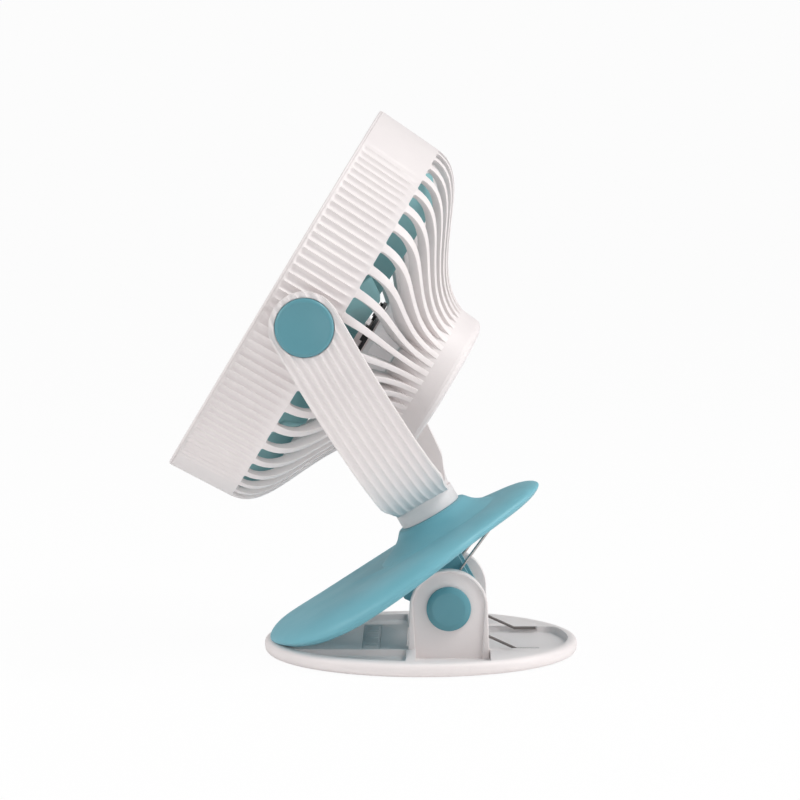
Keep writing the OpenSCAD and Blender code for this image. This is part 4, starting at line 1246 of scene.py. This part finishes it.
# %% Pad seat and leg grooves
COIL_Y = 27.0  # the outermost turn of the spring, from the middle plane
LEG_GROOVE = (18.3, 2.1, 4)
dish = cut(dish, block("pad_seat", (8, 2 * EAR_OUT - 3, 8), (ISLAND_PAD_X, 0, DECK - PAD_SINK + 4)))
dish = cut(dish, mirrored(block("leg_groove", LEG_GROOVE, (43.45, COIL_Y, DECK - 2.1 + 2))))
soften(heal(dish, 0.12), 0.35, 2, 50)
print("dish has", len(dish.data.polygons), "faces with soft edges")

# %% Ears
def pin_arc(radius, first, last):
    """Points of an arc round the pin, four degrees apart."""
    count = round((first - last) / 4)
    around_pin = (polar(radius, first + (last - first) * k / count) for k in range(count + 1))
    return [(PIN_X + x, PIN_Z + z) for x, z in around_pin]


EAR_FOOT = 2.0
BORDER_W, BORDER_FOOT_W, BORDER_RISE = 1.2, 2.9, 0.8
ear_side = [(PIN_X - EAR_R - 0.7, EAR_FOOT), (PIN_X - EAR_R - 0.35, DECK + 4),
            *pin_arc(EAR_R, 180, 0),
            (PIN_X + EAR_R + 0.35, DECK + 4), (PIN_X + EAR_R + 0.7, EAR_FOOT)]
ear = soften(prism("ear", ear_side, EAR_IN, EAR_OUT), 0.5, 3, 60)
border = prism("ear_border", ear_side, EAR_OUT - 1, EAR_OUT + BORDER_RISE)
inset = prism("border_inset", [*pin_arc(EAR_R - BORDER_W, 170, 10),
                               (PIN_X + EAR_R - BORDER_FOOT_W, EAR_FOOT - 1),
                               (PIN_X - EAR_R + BORDER_FOOT_W, EAR_FOOT - 1)],
              EAR_OUT - 3, EAR_OUT + 3)
border = soften(cut(border, inset), 0.4, 3, 60)
ears = mirrored(upright(join(ear, border)))
dish = join(dish, ears)
dish.name = "turned_dish"
settle(dish, BASE, "base", BASE_WHITE, "white_plastic", "base_dish", smooth=35)

# %% Grip pad across the island
island_pad = ribbed_pad("island_pad", (7.9, 2 * EAR_OUT - 3.1, PAD_SINK), 6.2, 0.75, 4.4, 6)
settle(shift(island_pad, ISLAND_PAD_X, 0, DECK - PAD_SINK / 2), BASE, "base", GRIP_RUBBER,
       "pale_rubber", "base_grip_pad", smooth=40)

# %% Caps on the clip's pin
PIN_CAP_R = 9.75
pin_caps = lathe("pin_caps", [
    (0, EAR_OUT), *profile(PIN_CAP_R, EAR_OUT, (0.4, 0), (0, 0.3), (0, 1.35), (0.15, 1.7),
                           (0.5, 1.95), (2.3, 2.68), (2.6, 2.78), (3.0, 2.8)),
    (0, EAR_OUT + 2.8)], HOOP_STEPS, closed=False)
pin_caps = shift(upright(pin_caps), PIN_X, 0, PIN_Z)
settle(mirrored(pin_caps), BASE, "base", CAP_TEAL, "teal_plastic", "pin_cap_near", "pin_cap_far",
       smooth=30)

# %% [markdown]
# ## The springs
# Round wire is a small circle that travels. For the coil it goes through a screw modifier, and
# for the straight legs it is pulled along. The second piece is the pair of arms that hook round
# the pin and reach up into the jaw.

# %% Wire
WIRE_R = 0.65
COIL_R = 4.6
COIL_TURNS = 7
COIL_PITCH = 2.04 * WIRE_R
LEG_END = 52.0 - PIN_X


def meets(x, z, side):
    """Angle at which a wire from (x, z) touches the coil, over (1) or under (-1) the pin."""
    return degrees(atan2(z, x)) + side * degrees(acos(COIL_R / hypot(x, z)))


def wire_ring(name, angle, y):
    """A ring of wire on the coil, at an angle round the pin, left open for editing."""
    ring = add("circle", name, vertices=16, radius=WIRE_R * MM)
    edit_all(ring)
    move(COIL_R, y, 0)
    turn(-angle, "Y")
    return ring


def close_wire(piece):
    """Closes a wire's open ends and puts its mesh in order."""
    pick_all()
    merge(0.005)
    bpy.ops.mesh.fill_holes(sides=0)
    close_edit(0.005)
    return piece


print("wire of", 2 * WIRE_R, "mm in turns of", 2 * COIL_R, "mm")

# %% Spring in the dish
leg_x, leg_z = 42.3 - PIN_X, DECK - WIRE_R - PIN_Z
leg_at = meets(leg_x, leg_z, -1)
start = polar(COIL_R, leg_at)
coil = wire_ring("spring_coil", leg_at, COIL_Y)
leave_edit()
use(coil, "SCREW", axis="Y", angle=2 * pi, screw_offset=-COIL_PITCH * MM, iterations=COIL_TURNS,
    steps=36, render_steps=36, use_merge_vertices=False)
leg = wire_ring("spring_leg", leg_at, COIL_Y)
extrude(x=leg_x - start[0], z=leg_z - start[1])
slant = degrees(atan2(leg_z - start[1], leg_x - start[0]))
turn(slant, "Y", (leg_x, COIL_Y, leg_z))
extrude(x=LEG_END - leg_x)
leave_edit()
coil = join(coil, leg)
edit(coil)
coil = shift(mirrored(close_wire(coil)), PIN_X, 0, PIN_Z)
coil.name = "coiled_spring"
print("slant of the leg:", round(slant, 2), "degrees")
# painted shade: the spring in the dish uses the darker copy of the spring steel
settle(coil, BASE, "base", SHADED_SPRING_STEEL, "steel", "clip_spring", smooth=60)

# %% Arms of the spring in the jaw
ARM_Y = 15.72
HOOK = 190  # degrees that the wire runs round the pin
arm_x, arm_z = 41.0, 24.9
arm_at = meets(arm_x, arm_z, 1)
touch = polar(COIL_R, arm_at)
arm = wire_ring("spring_arm", arm_at, ARM_Y)
bpy.ops.mesh.spin(steps=20, angle=radians(HOOK), center=(0, 0, 0), axis=(0, 1, 0))
leave_edit()
reach_arm = wire_ring("spring_reach", arm_at, ARM_Y)
extrude(x=arm_x - touch[0], z=arm_z - touch[1])
leave_edit()
arm = join(arm, reach_arm)
edit(arm)
arm = mirrored(close_wire(arm))
arm.name = "bent_arms"
settle(arm, JAW, "jaw", STEEL, "steel", "spring_arms", smooth=60)

# %% [markdown]
# ## The impeller
# A blade is a flat grid that is bent into place: each point of it is sent to its radius, its
# angle round the axis and its depth. It then gets its thickness from a solidify modifier and is
# copied seven times round a cup that is turned on a lathe.

# %% Blades
BLADES = 7
BLADE_R = 83.0
CUP_R, CUP_WALL, CUP_FLOOR = 20.0, 1.6, 26.5
SHAFT_HOLE_R = 1.6
BLADE_FRONT, BLADE_REAR, TIP_REAR = 13.0, 41.5, 33.0
BLADE_SPAN, BLADE_BELLY, BLADE_LEAN = 44, 8, 10  # degrees round the axis
BLADE_T = 1.1
TIP_GUARD = 73.5


def blade_place(u, v):
    """Where a blade's point lies, from hub (u = 0) to tip and from front (v = 0) to rear."""
    r = CUP_R - 0.8 + u * (BLADE_R - CUP_R + 0.8)
    close_in = min(1, max(0, (BLADE_R - r) / (BLADE_R - TIP_GUARD)))
    front = BLADE_FRONT + 3 * u * u
    rear = TIP_REAR + (BLADE_REAR - TIP_REAR) * close_in
    turned = radians((v - 0.5) * (BLADE_SPAN + 6 * u) + BLADE_BELLY * sin(pi * v) + BLADE_LEAN * u)
    return Vector((r * cos(turned), r * sin(turned), behind(front + v * (rear - front)))) * MM


blade = add("grid", "fan_blade", x_subdivisions=16, y_subdivisions=16, size=1)
blade_mesh = edit(blade)
for vert in blade_mesh.verts:
    vert.co = blade_place(vert.co.x + 0.5, vert.co.y + 0.5)
bmesh.update_edit_mesh(blade.data)
close_edit()
use(blade, "SOLIDIFY", thickness=BLADE_T * MM, offset=0.0)
soften(blade, 0.4, 2, 60)
cup = lathe("impeller_cup", [
    *profile(CUP_R, FRONT, (CUP_WALL, -BLADE_REAR), (0, -BLADE_REAR), (0, -18.2), (0.2, -16.8),
             (0.8, -15.4), (1.9, -14.2), (3.4, -13.4), (5.2, -13.02)),
    (SHAFT_HOLE_R, behind(BLADE_FRONT)), (SHAFT_HOLE_R, behind(CUP_FLOOR)),
    (CUP_R - CUP_WALL, behind(CUP_FLOOR))])
rotor = join(copies(blade, BLADES), cup)
rotor.name = "bladed_rotor"
# painted light: the blades get the lightened teal, for the shade behind the guard
settle(rotor, HEAD, "fan", BLADE_TEAL_PAINTED_LIGHT, "teal_plastic", "impeller", smooth=50)

# %% [markdown]
